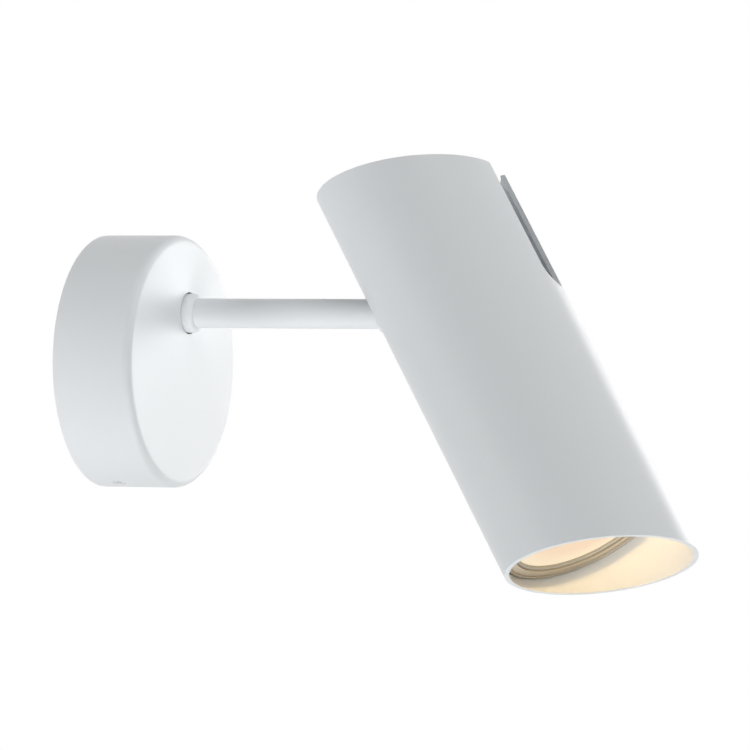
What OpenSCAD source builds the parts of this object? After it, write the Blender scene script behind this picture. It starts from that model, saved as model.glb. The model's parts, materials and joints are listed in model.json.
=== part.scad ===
// Wall spotlight: a round canopy, a swivelling arm and a tilting tubular head with slanting ends.
// Millimetres. The origin is the middle of the canopy on the wall, +X points out of the wall, +Z up.

/* [Canopy] */
// Outside diameter of the canopy
canopy_d = 85; // [84:0.5:110]
// Depth of the canopy from the wall to its face
canopy_depth = 28; // [27.5:0.5:34]
// Sheet thickness of the canopy
canopy_wall = 1.2; // [0.8:0.1:1.8]
// Radius of the canopy's front edge
canopy_edge_r = 3; // [2:0.5:5]
// Gap round the hub where it passes through the canopy
canopy_hole_gap = 0.5; // [0.3:0.1:1]

/* [Wall bracket] */
// Sheet thickness of the wall bracket
plate_t = 2; // [1.5:0.25:2.5]
// Gap between the bracket's rim and the canopy's inside
plate_gap = 2; // [1:0.5:3]
// Distance between the two wall screws
wall_screw_spacing = 52; // [48:1:54]
// Length of each wall screw slot
wall_slot_l = 11; // [8:1:12]
// Radius of the wall screw slots
wall_slot_r = 2.3; // [2:0.1:2.6]
// Height of the wall screws above the canopy's middle
wall_screw_z = 0; // [-2:0.5:1]
// Radius of the supply cable's hole
cable_hole_r = 6; // [5:0.5:6.5]
// Height of the supply cable's hole above the canopy's middle
cable_hole_z = -3; // [-4:0.5:-2]
// Length of the folded tabs that take the canopy's set screws
tab_l = 15; // [13:1:18]
// Width of the folded tabs
tab_w = 14; // [10:1:16]
// Distance from the end of a tab to its set screw
tab_screw_in = 5; // [4:0.5:6]

/* [Bridge] */
// Distance from the canopy's inside to the bridge's front face
hub_room = 4.8; // [4.5:0.1:6]
// Sheet thickness of the bridge
bridge_t = 2; // [1.5:0.25:2.5]
// Length of the bridge's feet
foot_l = 11; // [9:0.5:12]
// Width of the bridge's legs and feet
foot_w = 16; // [12:1:18]
// Gap between the legs and what turns between them
leg_gap = 1; // [0.5:0.1:2]

/* [Arm] */
// Height of the arm above the canopy's middle
arm_z = 17; // [15:0.2:18]
// Outside diameter of the arm tube
arm_d = 10; // [9:0.5:10.5]
// Wall thickness of the arm tube
arm_wall = 1; // [0.8:0.1:1.5]
// Distance from the wall to the head's pivot
reach = 132.4; // [125:0.1:180]
// Turn of the arm about its own length as built
swivel = 0; // [-40:1:40]

/* [Hub] */
// Diameter of the turned collars at both ends of the arm
collar_d = 13.2; // [13:0.1:13.6]
// How far the hub's nose stands out of the canopy
nose_out = 3.6; // [2:0.1:4]
// Diameter of the hub's shank
shank_d = 13; // [12.4:0.2:13.4]
// Diameter of the hub's shoulder
shoulder_d = 18; // [17:0.5:19]
// Thickness of the hub's shoulder
shoulder_t = 2; // [1.5:0.25:2.5]
// Thickness of the hub nut
hub_nut_t = 3.8; // [3:0.2:4]
// Width of the hub nut across its flats
hub_nut_af = 18; // [17:0.5:19]
// Thickness of the stop washer
stop_t = 1.2; // [1:0.1:1.5]
// Height of the hub's spring washer as squeezed
spring_t = 1; // [0.8:0.1:1.2]
// Width of the two washers round the shank
washer_rim = 1.6; // [1.2:0.1:2]
// Diameter of the stop pin
stop_pin_d = 2.4; // [2:0.1:3]
// Width of the stop washer's tongue
tongue_w = 2; // [1.5:0.1:3]

/* [Knuckle] */
// Distance from the pivot to the knuckle's collar end
knuckle_l = 33.6; // [31:0.2:36]
// Depth of the arm tube in the knuckle
socket_depth = 12; // [9:0.5:13]
// Thickness of the knuckle between its flats
tongue_t = 11; // [9:0.5:11.6]
// Length of the flats from the pivot towards the arm
flat_l = 9; // [8.5:0.5:10]
// Radius of the wire passage in the knuckle
wire_bore_r = 3.4; // [3:0.1:3.6]
// Length of the window where the leads leave the knuckle
window_l = 7.5; // [6:0.5:9]

/* [Head tube] */
// Outside diameter of the head
head_d = 60; // [59:0.5:64]
// Wall thickness of the head
head_wall = 1.5; // [1:0.1:1.8]
// Height of the head's top end above the pivot, on its axis
head_up = 52.4; // [48:0.2:60]
// Depth of the head's mouth below the pivot, on its axis
head_down = 101; // [100.5:0.5:112]
// Slant of both ends of the head
end_slant = 20.3; // [0:0.1:20.5]
// Tilt of the head from straight down as photographed
tilt = 33; // [20:1:60]
// Gap between the knuckle and each side of the slots
slot_gap = 0.4; // [0.3:0.1:0.8]
// Depth of the slots' round centre below the pivot
slot_drop = 0.3; // [0.2:0.1:0.6]

/* [Yoke] */
// Depth of the yoke's plate below the pivot
yoke_drop = 12; // [11.5:0.5:13]
// Sheet thickness of the yoke
yoke_t = 2; // [1.5:0.25:2.5]
// Width of the yoke's ears along the slot
ear_w = 14; // [12:0.5:14.5]
// Gap between each ear and the knuckle's round body
ear_gap = 0.4; // [0.3:0.1:0.8]
// Width of the yoke's plate across the slot
yoke_w = 26; // [24:1:30]
// Diameter of the pivot screw
pivot_d = 5; // [4:0.5:5]
// Distance from the head's inside to each yoke screw
yoke_screw_in = 4.5; // [4:0.1:5]
// Height of the seat ring in the tube
seat_h = 10; // [8:1:14]
// Width of the seat ring's flange
seat_flange = 7.4; // [6.5:0.2:8]
// Sheet thickness of the seat ring
seat_t = 2; // [1.5:0.25:2]

/* [Lamp and holder] */
// Diameter of the ceramic lampholder
holder_d = 27; // [26:0.5:30]
// Height of the ceramic lampholder
holder_h = 22; // [20:0.5:24]
// Distance between the lampholder's screws
holder_screw_spacing = 19; // [17:0.5:19]
// Width of the ring between the lamp's rim and the head's inside
bezel_room = 3.5; // [2.5:0.1:6]
// Diameter of the lamp's neck
lamp_neck_d = 26; // [25:0.5:27]
// Length of the lamp from the lampholder to its rim
lamp_l = 50; // [49:0.5:50.5]
// Wall thickness of the lamp's body
lamp_wall = 1.4; // [1:0.1:1.6]
// Distance between the lamp's two contact pins
pin_spacing = 10; // [9:0.5:11]
// Diameter of the heads of the contact pins
pin_head_d = 5; // [4.5:0.1:5.2]
// Diameter of the stems of the contact pins
pin_stem_d = 3; // [2.5:0.1:3.2]
// Width of the lamp's rim round the frosted lens
lens_rim = 1.6; // [1.2:0.1:3]
// Radius of the lens's dome
lens_dome_r = 160; // [140:10:300]

/* [Bezel] */
// Gap between the bezel and the head's inside
bezel_gap = 0.35; // [0.3:0.05:0.6]
// Gap between the lamp's rim and the bezel
rim_gap = 0.3; // [0.2:0.05:0.4]
// Thickness of the bezel's front lip over the lamp's rim
lip_t = 0.9; // [0.7:0.1:1.2]
// How far the lip reaches over the lamp's rim
lip_reach = 0.6; // [0.4:0.1:0.8]
// Length of the bezel's sleeve
sleeve_l = 20; // [18:1:24]
// Wall thickness of the bezel's sleeve
sleeve_t = 0.8; // [0.6:0.1:1]
// Number of leaf springs round the bezel
clip_count = 3; // [2:1:5]
// Width of each leaf spring
clip_w = 6; // [4:0.5:7]
// Thickness of each leaf spring
clip_t = 0.4; // [0.3:0.05:0.5]
// Length of each leaf spring
clip_l = 12; // [10:0.5:14]

/* [Wiring] */
// Diameter of an insulated lead
lead_d = 2; // [1.6:0.1:2.2]
// Distance between the two leads of a pair
lead_pitch = 2.6; // [2.4:0.1:3]
// Number of poles of the terminal block
poles = 3; // [2:1:3]
// Width of one pole
pole_w = 8; // [7:0.5:8.5]
// Height of the terminal block off the bracket
block_h = 15; // [13:0.5:16]
// Length of the terminal block along its wires
block_l = 17; // [15:0.5:18]
// Height of the brass barrels over the bracket
barrel_up = 6; // [5:0.5:8]
// Height of the terminal block's middle above the canopy's middle
block_z = -23; // [-24:0.5:-22]

/* [Hidden] */
$fn = 96;

// Radial clearance of a shaft that turns in its hole
run_gap = 0.05;
// Radial clearance of a thread or a fixed fit
fit_gap = 0.02;
// Radial clearance of a screw in a plain hole
clear_hole = 0.2;
// How far a cutting shape runs past the surface that it cuts
over = 1;
// How far two joined shapes run into each other
join = 0.01;
// Size of a cutting block, larger than any piece
block = 300;
// Circle count of the lens's shallow dome
dome_fn = 1440;

// Metric screws: radius of the shank, radius and height of the head, width of the hex socket
m3_r = 1.5;
m3_head_r = 2.75;
m3_head_h = 2.2;
m3_socket = 2;
m4_r = 2;
m4_head_r = 3.6;
m4_head_h = 2.6;
m4_socket = 2.5;
grub_socket = 1.6;
grub_sink = 0.3;
socket_share = 0.4;
screw_end = 1;

canopy_r = canopy_d / 2;
canopy_in_r = canopy_r - canopy_wall;
canopy_socket_h = 2.2;
canopy_screw_sink = 0.1;
plate_r = canopy_in_r - plate_gap;
tab_out = sqrt(pow(plate_r, 2) - pow(tab_w / 2, 2));
tab_in = tab_out - plate_t;
tab_screw_x = tab_l - tab_screw_in;
tab_screw_out = 0.5;

arm_r = arm_d / 2;
arm_bore_r = arm_r - arm_wall;
collar_r = collar_d / 2;
collar_edge = 1.5;
shank_r = shank_d / 2;
shank_tail = 1;
hub_edge = 2;

bridge_x = canopy_depth - canopy_wall - hub_room;
bridge_back = bridge_x - bridge_t;
hub_nose_x = canopy_depth + nose_out;
stop_x = bridge_back - run_gap - stop_t;
spring_x = stop_x - spring_t;
nut_x = spring_x - hub_nut_t;
shank_x = nut_x - shank_tail;
stop_pin_r = stop_pin_d / 2;
stop_gap = 0.4;
stop_ring_r = shank_r + washer_rim + stop_gap + stop_pin_r;
stop_reach = stop_ring_r + stop_pin_r;
bridge_rim = 1;
bridge_w = 2 * (stop_reach + bridge_rim);
nut_corner_r = hub_nut_af / 2 / cos(30);
leg_in = max(nut_corner_r, stop_reach) + leg_gap;
leg_out = leg_in + bridge_t;
foot_out = leg_out + foot_l;
foot_screw_y = leg_out + foot_l / 2;

block_w = poles * pole_w;
block_ear = 6;
block_ear_t = 3;
block_ear_w = 8;
block_ear_y = (block_w + block_ear) / 2;
pole_wall = 1.4;
barrel_x = plate_t + barrel_up;
barrel_r = pole_w / 2 - pole_wall;
barrel_bore_r = 1.5;
barrel_inset = 1.5;
barrel_l = block_l - 2 * barrel_inset;
clamp_r = 1.25;
clamp_z = 4;
clamp_out = 3;
earth_y = 13;
earth_washer_t = 1;
earth_washer_rim = 0.8;

lead_r = lead_d / 2;
lead_y = lead_pitch / 2;
lead_sink = 0.5;
lead_drop = wire_bore_r - lead_r - lead_sink;
lead_turn = 2.5;
lead_back = 2;
lead_split = 0.1;
lead_sides = 10;
window_in = flat_l + lead_sink;
window_out = window_in + window_l;
window_gap = 0.3;
window_w = 2 * (lead_y + lead_r + window_gap);
lead_out = [-window_in - lead_d, -collar_r - lead_r];

tube_r = head_d / 2;
tube_in_r = tube_r - head_wall;
slot_r = collar_r + slot_gap;
ear_in = collar_r + ear_gap;
ear_out = ear_in + yoke_t;
pivot_r = pivot_d / 2;
pivot_head_rim = 2;
pivot_head_h = 3;
pivot_nut_rim = 2.2;
pivot_nut_t = 4;
friction_rim = 3.5;
tongue_y = tongue_t / 2;

seat_z = -yoke_drop - yoke_t;
seat_out_r = tube_in_r - run_gap;
yoke_edge = 1;
yoke_plate_r = seat_out_r - yoke_edge;
yoke_screw_x = tube_in_r - yoke_screw_in;
yoke_hole_r = window_w / 2 + clear_hole;
yoke_hole_gap = 0.75;
yoke_hole_x = seat_out_r - seat_flange - yoke_hole_r - yoke_hole_gap;
holder_r = holder_d / 2;
holder_z = seat_z - holder_h;
holder_screw_x = holder_screw_spacing / 2;
holder_screw_l = 8;
holder_lead_z = seat_z - holder_screw_l - screw_end - lead_d;
holder_lead_in = 4;
lead_hole_gap = 0.15;
pin_y = pin_spacing / 2;
pin_hole_gap = 0.15;
pin_hole_end = 1;
pin_stem_h = 4;
pin_head_h = 3;
lamp_r = tube_in_r - bezel_room;
neck_r = lamp_neck_d / 2;
neck_l = 12;
flare_l = 16;
flare_step = 3;
brow_l = 14;
brow_step = 1.5;
rim_l = 8;
lens_r = lamp_r - lens_rim;
lens_seat = 2;
lens_edge = 1;
board_z = 10;
board_t = 1.6;
board_gap = 0.1;
board_r = lamp_r - brow_step - lamp_wall;
ledge_w = 1.4;
ledge_h = 3;
chip_count = 6;
chip_w = 3;
chip_h = 0.8;
rim_z = holder_z - lamp_l;

bezel_r = tube_in_r - bezel_gap;
bezel_bore_r = lamp_r + rim_gap;
bezel_front = rim_z - run_gap - lip_t;
bezel_flange = 3;
sleeve_r = bezel_bore_r + sleeve_t;
groove_in = 0.4;
groove_w = 0.6;
groove_h = 0.5;
clip_gap = 0.1;
clip_inset = 2;
clip_top = bezel_front + sleeve_l - clip_inset;
clip_rise = sqrt(pow(tube_in_r, 2) - pow(clip_w / 2, 2)) - clip_gap - sleeve_r;
clip_end = 0.3;

// The arm's own frame: its axis runs along X, turned by the swivel about it
module on_arm() {
    translate([0, 0, arm_z])
        rotate([swivel, 0, 0])
            children();
}

// The pivot of the head, in the arm's frame
module at_pivot() {
    on_arm()
        translate([reach, 0, 0])
            children();
}

// The head's own frame: origin at the pivot, +Z up the tube
module in_head() {
    at_pivot()
        rotate([0, -tilt, 0])
            children();
}

// A rod along X from one place to another
module x_rod(x0, x1, r) {
    translate([x0, 0, 0])
        rotate([0, 90, 0])
            cylinder(h = x1 - x0, r = r);
}

// A rod along Y from one place to another
module y_rod(y0, y1, r) {
    translate([0, y0, 0])
        rotate([-90, 0, 0])
            cylinder(h = y1 - y0, r = r);
}

// A rod along Z from one height to another
module z_rod(z0, z1, r) {
    translate([0, 0, z0])
        cylinder(h = z1 - z0, r = r);
}

// A block given by its lowest and highest corners
module span(low, high) {
    translate(low)
        cube(high - low);
}

// A cup's outline for turning: radius, height and rounding of its outer edge
module cup_line(r, h, edge) {
    union() {
        square([r - edge, h]);
        square([r, h - edge]);
        translate([r - edge, h - edge])
            circle(edge);
    }
}

// A turned rod along X with one rounded end
module nosed_rod(x0, x1, r, edge) {
    translate([x0, 0, 0])
        rotate([0, 90, 0])
            rotate_extrude()
                cup_line(r, x1 - x0, edge);
}

// A screw that points down from z = 0, its head above with a hex socket
module screw(r, l, head_r, head_h, socket) {
    difference() {
        union() {
            z_rod(-l, join, r);
            z_rod(0, head_h, head_r);
        }
        translate([0, 0, head_h * socket_share])
            cylinder(h = head_h, r = socket / 2 / cos(30), $fn = 6);
    }
}

// A headless screw along Z between two heights, with a hex socket in its top
module grub(z0, z1, r, socket, socket_h) {
    difference() {
        z_rod(z0, z1, r);
        translate([0, 0, z1 - socket_h])
            cylinder(h = socket_h + over, r = socket / 2 / cos(30), $fn = 6);
    }
}

// A hex nut along Z with its bore
module nut(af, t, bore_r) {
    difference() {
        cylinder(h = t, r = af / 2 / cos(30), $fn = 6);
        z_rod(-over, t + over, bore_r);
    }
}

// A slot along Y cut through a plate that lies against the wall
module y_slot(l, r, t) {
    half = l / 2 - r;
    for (s = [-1, 1])
        translate([0, s * half, 0])
            x_rod(-over, t + over, r);
    span([-over, -half, -r], [t + over, half, r]);
}

// Points of a curve from a to b that leaves a along u and reaches b along v, without a itself
function curve(a, u, b, v, count) =
    [for (i = [1 : count])
        let (t = i / count, r = 1 - t)
        r * r * r * a + 3 * r * r * t * (a + u) + 3 * r * t * t * (b - v) + t * t * t * b];
function unit(v) = v / norm(v);
function tangent(q, i) = unit(q[min(i + 1, len(q) - 1)] - q[max(i - 1, 0)]);
function side(t) = unit([0, 1, 0] - t[1] * t);

// A lead of round section swept along the given points
module lead(q) {
    rings = len(q);
    corners = [for (i = [0 : rings - 1])
        let (t = tangent(q, i), u = side(t), v = cross(t, u))
        for (k = [0 : lead_sides - 1])
            let (a = 360 * k / lead_sides)
            q[i] + lead_r * (cos(a) * u + sin(a) * v)];
    walls = [for (i = [0 : rings - 2]) for (k = [0 : lead_sides - 1])
        let (m = (k + 1) % lead_sides, from = i * lead_sides, to = from + lead_sides)
        [from + k, to + k, to + m, from + m]];
    last = (rings - 1) * lead_sides;
    start = [[for (k = [0 : lead_sides - 1]) k]];
    end = [[for (k = [lead_sides - 1 : -1 : 0]) last + k]];
    polyhedron(points = corners, faces = concat(walls, start, end));
}

module wall_bracket() {
    color("Silver")
    difference() {
        union() {
            intersection() {
                x_rod(0, plate_t, plate_r);
                span([0, -plate_r, -tab_out], [plate_t, plate_r, tab_out]);
            }
            span([0, -tab_w / 2, tab_in], [tab_l, tab_w / 2, tab_out]);
            span([0, -tab_w / 2, -tab_out], [tab_l, tab_w / 2, -tab_in]);
        }
        for (s = [-1, 1])
            translate([0, s * wall_screw_spacing / 2, wall_screw_z])
                y_slot(wall_slot_l, wall_slot_r, plate_t);
        translate([0, 0, cable_hole_z])
            x_rod(-over, plate_t + over, cable_hole_r);
        for (s = [-1, 1])
            translate([0, s * foot_screw_y, arm_z])
                x_rod(-over, plate_t + over, m4_r + fit_gap);
        for (s = [-1, 1])
            translate([0, s * block_ear_y, block_z])
                x_rod(-over, plate_t + over, m3_r + fit_gap);
        translate([0, earth_y, block_z + block_l])
            x_rod(-over, plate_t + over, m4_r + fit_gap);
        translate([tab_screw_x, 0, 0])
            z_rod(-plate_r - over, plate_r + over, m4_r + fit_gap);
    }
}

module bracket_bridge() {
    color("Silver")
    translate([0, 0, arm_z])
    difference() {
        union() {
            span([bridge_back, -leg_out, -bridge_w / 2], [bridge_x, leg_out, bridge_w / 2]);
            for (s = [0, 1])
                mirror([0, s, 0]) {
                    span([plate_t, leg_in, -foot_w / 2], [bridge_x, leg_out, foot_w / 2]);
                    span([plate_t, leg_in, -foot_w / 2],
                        [plate_t + bridge_t, foot_out, foot_w / 2]);
                }
        }
        x_rod(bridge_back - over, bridge_x + over, shank_r + run_gap);
        translate([0, 0, -stop_ring_r])
            x_rod(bridge_back - over, bridge_x + over, stop_pin_r + fit_gap);
        for (s = [-1, 1])
            translate([0, s * foot_screw_y, 0])
                x_rod(0, plate_t + bridge_t + over, m4_r + clear_hole);
    }
}

module bridge_screws() {
    color("Gainsboro")
    for (s = [-1, 1])
        translate([plate_t + bridge_t, s * foot_screw_y, arm_z])
            rotate([0, 90, 0])
                screw(m4_r, plate_t + bridge_t, m4_head_r, m4_head_h, m4_socket);
}

module stop_pin() {
    color("Gainsboro")
    translate([0, 0, arm_z - stop_ring_r])
        x_rod(stop_x, bridge_x, stop_pin_r);
}

module terminal_block() {
    color("WhiteSmoke")
    difference() {
        union() {
            span([plate_t, -block_w / 2, block_z - block_l / 2],
                [plate_t + block_h, block_w / 2, block_z + block_l / 2]);
            span([plate_t, -block_w / 2 - block_ear, block_z - block_ear_w / 2],
                [plate_t + block_ear_t, block_w / 2 + block_ear, block_z + block_ear_w / 2]);
        }
        for (i = [0 : poles - 1])
            translate([barrel_x, (i - (poles - 1) / 2) * pole_w, 0]) {
                z_rod(block_z - block_l, block_z + block_l, barrel_r + fit_gap);
                for (s = [-1, 1])
                    translate([0, 0, block_z + s * clamp_z])
                        x_rod(0, block_h, clamp_r + clear_hole);
            }
        for (s = [-1, 1])
            translate([0, s * block_ear_y, block_z])
                x_rod(0, plate_t + block_ear_t + over, m3_r + clear_hole);
    }
}

module terminal_barrels() {
    color("Goldenrod")
    for (i = [0 : poles - 1])
        translate([barrel_x, (i - (poles - 1) / 2) * pole_w, 0])
            difference() {
                z_rod(block_z - barrel_l / 2, block_z + barrel_l / 2, barrel_r);
                z_rod(block_z - barrel_l, block_z + barrel_l, barrel_bore_r);
                for (s = [-1, 1])
                    translate([0, 0, block_z + s * clamp_z])
                        x_rod(0, block_h, clamp_r + fit_gap);
            }
}

module terminal_clamp_screws() {
    color("Gainsboro")
    for (i = [0 : poles - 1])
        for (s = [-1, 1])
            translate([barrel_x, (i - (poles - 1) / 2) * pole_w, block_z + s * clamp_z])
                x_rod(lead_r + fit_gap, barrel_r + clamp_out, clamp_r);
}

module terminal_block_screws() {
    color("Gainsboro")
    for (s = [-1, 1])
        translate([plate_t + block_ear_t, s * block_ear_y, block_z])
            rotate([0, 90, 0])
                screw(m3_r, plate_t + block_ear_t, m3_head_r, m3_head_h, m3_socket);
}

module earth_screw() {
    color("Goldenrod")
    translate([plate_t, earth_y, block_z + block_l])
        rotate([0, 90, 0]) {
            translate([0, 0, earth_washer_t])
                screw(m4_r, plate_t + earth_washer_t, m4_head_r, m4_head_h, m4_socket);
            difference() {
                z_rod(0, earth_washer_t, m4_head_r + earth_washer_rim);
                z_rod(-over, earth_washer_t + over, m4_r);
            }
        }
}

module canopy() {
    color("White")
    difference() {
        rotate([0, 90, 0])
            rotate_extrude()
                difference() {
                    cup_line(canopy_r, canopy_depth, canopy_edge_r);
                    translate([0, -over])
                        cup_line(canopy_in_r, canopy_depth - canopy_wall + over,
                            canopy_edge_r - canopy_wall);
                }
        translate([0, 0, arm_z])
            x_rod(canopy_depth - canopy_wall - over, canopy_depth + over,
                collar_r + canopy_hole_gap);
        translate([tab_screw_x, 0, 0])
            z_rod(-canopy_r - over, canopy_r + over, m4_r + clear_hole);
    }
}

module canopy_set_screws() {
    color("White")
    for (s = [0, 1])
        mirror([0, 0, s])
            translate([tab_screw_x, 0, 0])
                grub(tab_in - tab_screw_out, canopy_r - canopy_screw_sink, m4_r, m3_socket,
                    canopy_socket_h);
}

// Two leads from the outer poles of the terminal block up and into the arm's inner end
module supply_leads() {
    up = [0, 0, 1];
    out = [1, 0, 0];
    top = block_z + block_l / 2;
    color("DimGray")
    for (s = [-1, 1]) {
        pole_y = s * (poles - 1) / 2 * pole_w;
        end_y = s * lead_y * cos(swivel) + lead_drop * sin(swivel);
        end_z = arm_z + s * lead_y * sin(swivel) - lead_drop * cos(swivel);
        rise = end_z - lead_turn - top;
        foot = [barrel_x, pole_y, top];
        knee = [barrel_x - lead_back, end_y, end_z - lead_turn];
        bent = [barrel_x - lead_back + lead_turn, end_y, end_z];
        lead(concat(
            [[barrel_x, pole_y, block_z], foot],
            curve(foot, up * rise / 2, knee, up * rise / 2, 14),
            curve(knee, up * lead_turn / 2, bent, out * lead_turn / 2, 6),
            [[shank_x, end_y, end_z]]));
    }
}

module swivel_hub() {
    color("White")
    on_arm()
        difference() {
            union() {
                x_rod(shank_x, bridge_x + over, shank_r);
                x_rod(bridge_x + run_gap, bridge_x + run_gap + shoulder_t, shoulder_d / 2);
                nosed_rod(bridge_x + run_gap, hub_nose_x, collar_r, hub_edge);
            }
            x_rod(shank_x - over, hub_nose_x + over, arm_r + fit_gap);
        }
}

module hub_stop_washer() {
    color("Gainsboro")
    on_arm()
        difference() {
            union() {
                x_rod(stop_x, stop_x + stop_t, shank_r + washer_rim);
                span([stop_x, -tongue_w / 2, 0], [stop_x + stop_t, tongue_w / 2, stop_reach]);
            }
            x_rod(stop_x - over, stop_x + stop_t + over, shank_r + fit_gap);
        }
}

module hub_spring_washer() {
    color("DarkGray")
    on_arm()
        difference() {
            x_rod(spring_x, spring_x + spring_t, shank_r + washer_rim);
            x_rod(spring_x - over, spring_x + spring_t + over, shank_r + run_gap);
        }
}

module hub_nut() {
    color("Gainsboro")
    on_arm()
        translate([nut_x, 0, 0])
            rotate([0, 90, 0])
                nut(hub_nut_af, hub_nut_t, shank_r + fit_gap);
}

module arm_tube() {
    color("White")
    on_arm()
        difference() {
            x_rod(shank_x, reach - knuckle_l + socket_depth, arm_r);
            x_rod(shank_x - over, reach, arm_bore_r);
            translate([reach - knuckle_l + socket_depth / 2, 0, 0])
                z_rod(0, arm_d, m3_r + clear_hole);
        }
}

// Two leads along the arm that turn down out of the knuckle's window
module arm_leads() {
    down = [0, 0, -1];
    out = [1, 0, 0];
    color("DimGray")
    on_arm()
        for (s = [-1, 1]) {
            end = [reach + lead_out[0], s * lead_y, lead_out[1]];
            bend = [end[0] - lead_turn, s * lead_y, -lead_drop];
            bent = [end[0], s * lead_y, -lead_drop - lead_turn];
            lead(concat(
                [[shank_x + lead_split, s * lead_y, -lead_drop], bend],
                curve(bend, out * lead_turn / 2, bent, down * lead_turn / 2, 8),
                [end]));
        }
}

module knuckle() {
    color("White")
    at_pivot()
        difference() {
            union() {
                rotate([0, 180, 0])
                    nosed_rod(0, knuckle_l, collar_r, collar_edge);
                intersection() {
                    x_rod(-collar_r, collar_r, collar_r);
                    y_rod(-collar_r, collar_r, collar_r);
                }
            }
            x_rod(-knuckle_l - over, -knuckle_l + socket_depth, arm_r + fit_gap);
            x_rod(-knuckle_l, -window_in, wire_bore_r);
            span([-window_out, -window_w / 2, -collar_d], [-window_in, window_w / 2, 0]);
            y_rod(-collar_d, collar_d, pivot_r + run_gap);
            for (s = [0, 1])
                mirror([0, s, 0])
                    span([-flat_l, tongue_y, -collar_d], [collar_d, collar_d, collar_d]);
            translate([-knuckle_l + socket_depth / 2, 0, 0])
                z_rod(0, collar_d, m3_r + fit_gap);
        }
}

module knuckle_set_screw() {
    color("Gainsboro")
    at_pivot()
        translate([-knuckle_l + socket_depth / 2, 0, 0])
            grub(arm_bore_r + clear_hole, collar_r - grub_sink, m3_r, grub_socket, screw_end);
}

module head_tube() {
    color("White")
    in_head()
        difference() {
            z_rod(-head_down - tube_r, head_up + tube_r, tube_r);
            z_rod(-head_down - head_d, head_up + head_d, tube_in_r);
            translate([0, 0, head_up])
                rotate([0, end_slant, 0])
                    span([-block / 2, -block / 2, 0], [block / 2, block / 2, block]);
            translate([0, 0, -head_down])
                rotate([0, end_slant, 0])
                    span([-block / 2, -block / 2, -block], [block / 2, block / 2, 0]);
            translate([0, 0, -slot_drop]) {
                x_rod(-head_d, head_d, slot_r);
                span([-head_d, -slot_r, 0], [head_d, slot_r, block]);
            }
        }
}

module seat_ring() {
    color("LightGray")
    in_head()
        difference() {
            z_rod(seat_z - seat_h, seat_z, seat_out_r);
            z_rod(seat_z - seat_h - over, seat_z - seat_t, seat_out_r - seat_t);
            z_rod(seat_z - seat_h, seat_z + over, seat_out_r - seat_flange);
            for (s = [-1, 1])
                translate([s * yoke_screw_x, 0, 0])
                    z_rod(seat_z - seat_h, seat_z + over, m3_r + fit_gap);
        }
}

module yoke() {
    color("LightGray")
    in_head()
        difference() {
            union() {
                intersection() {
                    z_rod(seat_z, -yoke_drop, yoke_plate_r);
                    span([-yoke_plate_r, -yoke_w / 2, seat_z],
                        [yoke_plate_r, yoke_w / 2, -yoke_drop]);
                }
                for (s = [0, 1])
                    mirror([0, s, 0]) {
                        span([-ear_w / 2, ear_in, seat_z], [ear_w / 2, ear_out, 0]);
                        y_rod(ear_in, ear_out, ear_w / 2);
                    }
            }
            y_rod(-head_d, head_d, pivot_r + fit_gap);
            for (s = [-1, 1]) {
                translate([s * yoke_screw_x, 0, 0])
                    z_rod(seat_z - over, -yoke_drop + over, m3_r + clear_hole);
                translate([s * holder_screw_x, 0, 0])
                    z_rod(seat_z - over, -yoke_drop + over, m3_r + clear_hole);
            }
            translate([-yoke_hole_x, 0, 0])
                z_rod(seat_z - over, -yoke_drop + over, yoke_hole_r);
        }
}

module yoke_screws() {
    color("Gainsboro")
    in_head()
        for (s = [-1, 1])
            translate([s * yoke_screw_x, 0, -yoke_drop])
                screw(m3_r, yoke_t + seat_t + screw_end, m3_head_r, m3_head_h, m3_socket);
}

module pivot_screw() {
    color("Gainsboro")
    in_head()
        translate([0, ear_out, 0])
            rotate([-90, 0, 0])
                screw(pivot_r, 2 * ear_out + pivot_nut_t + screw_end, pivot_r + pivot_head_rim,
                    pivot_head_h, m4_socket);
}

module pivot_nut() {
    color("Gainsboro")
    in_head()
        translate([0, -ear_out, 0])
            rotate([90, 0, 0])
                nut(2 * (pivot_r + pivot_nut_rim) * cos(30), pivot_nut_t, pivot_r + fit_gap);
}

module friction_washers() {
    color("Black")
    in_head()
        for (s = [0, 1])
            mirror([0, s, 0])
                difference() {
                    y_rod(tongue_y + run_gap, ear_in, pivot_r + friction_rim);
                    y_rod(0, ear_out, pivot_r + fit_gap);
                }
}

module lampholder() {
    color("Ivory")
    in_head()
        difference() {
            z_rod(holder_z, seat_z, holder_r);
            for (s = [-1, 1]) {
                translate([0, s * pin_y, 0])
                    z_rod(holder_z - over, holder_z + pin_stem_h + pin_head_h + pin_hole_end,
                        pin_head_d / 2 + pin_hole_gap);
                translate([s * holder_screw_x, 0, 0])
                    z_rod(seat_z - holder_screw_l - screw_end, seat_z + over, m3_r + fit_gap);
                translate([0, s * lead_y, holder_lead_z])
                    x_rod(-holder_d, holder_lead_in - holder_r, lead_r + lead_hole_gap);
            }
        }
}

module lampholder_screws() {
    color("Gainsboro")
    in_head()
        for (s = [-1, 1])
            translate([s * holder_screw_x, 0, -yoke_drop])
                screw(m3_r, yoke_t + holder_screw_l, m3_head_r, m3_head_h, m3_socket);
}

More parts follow.
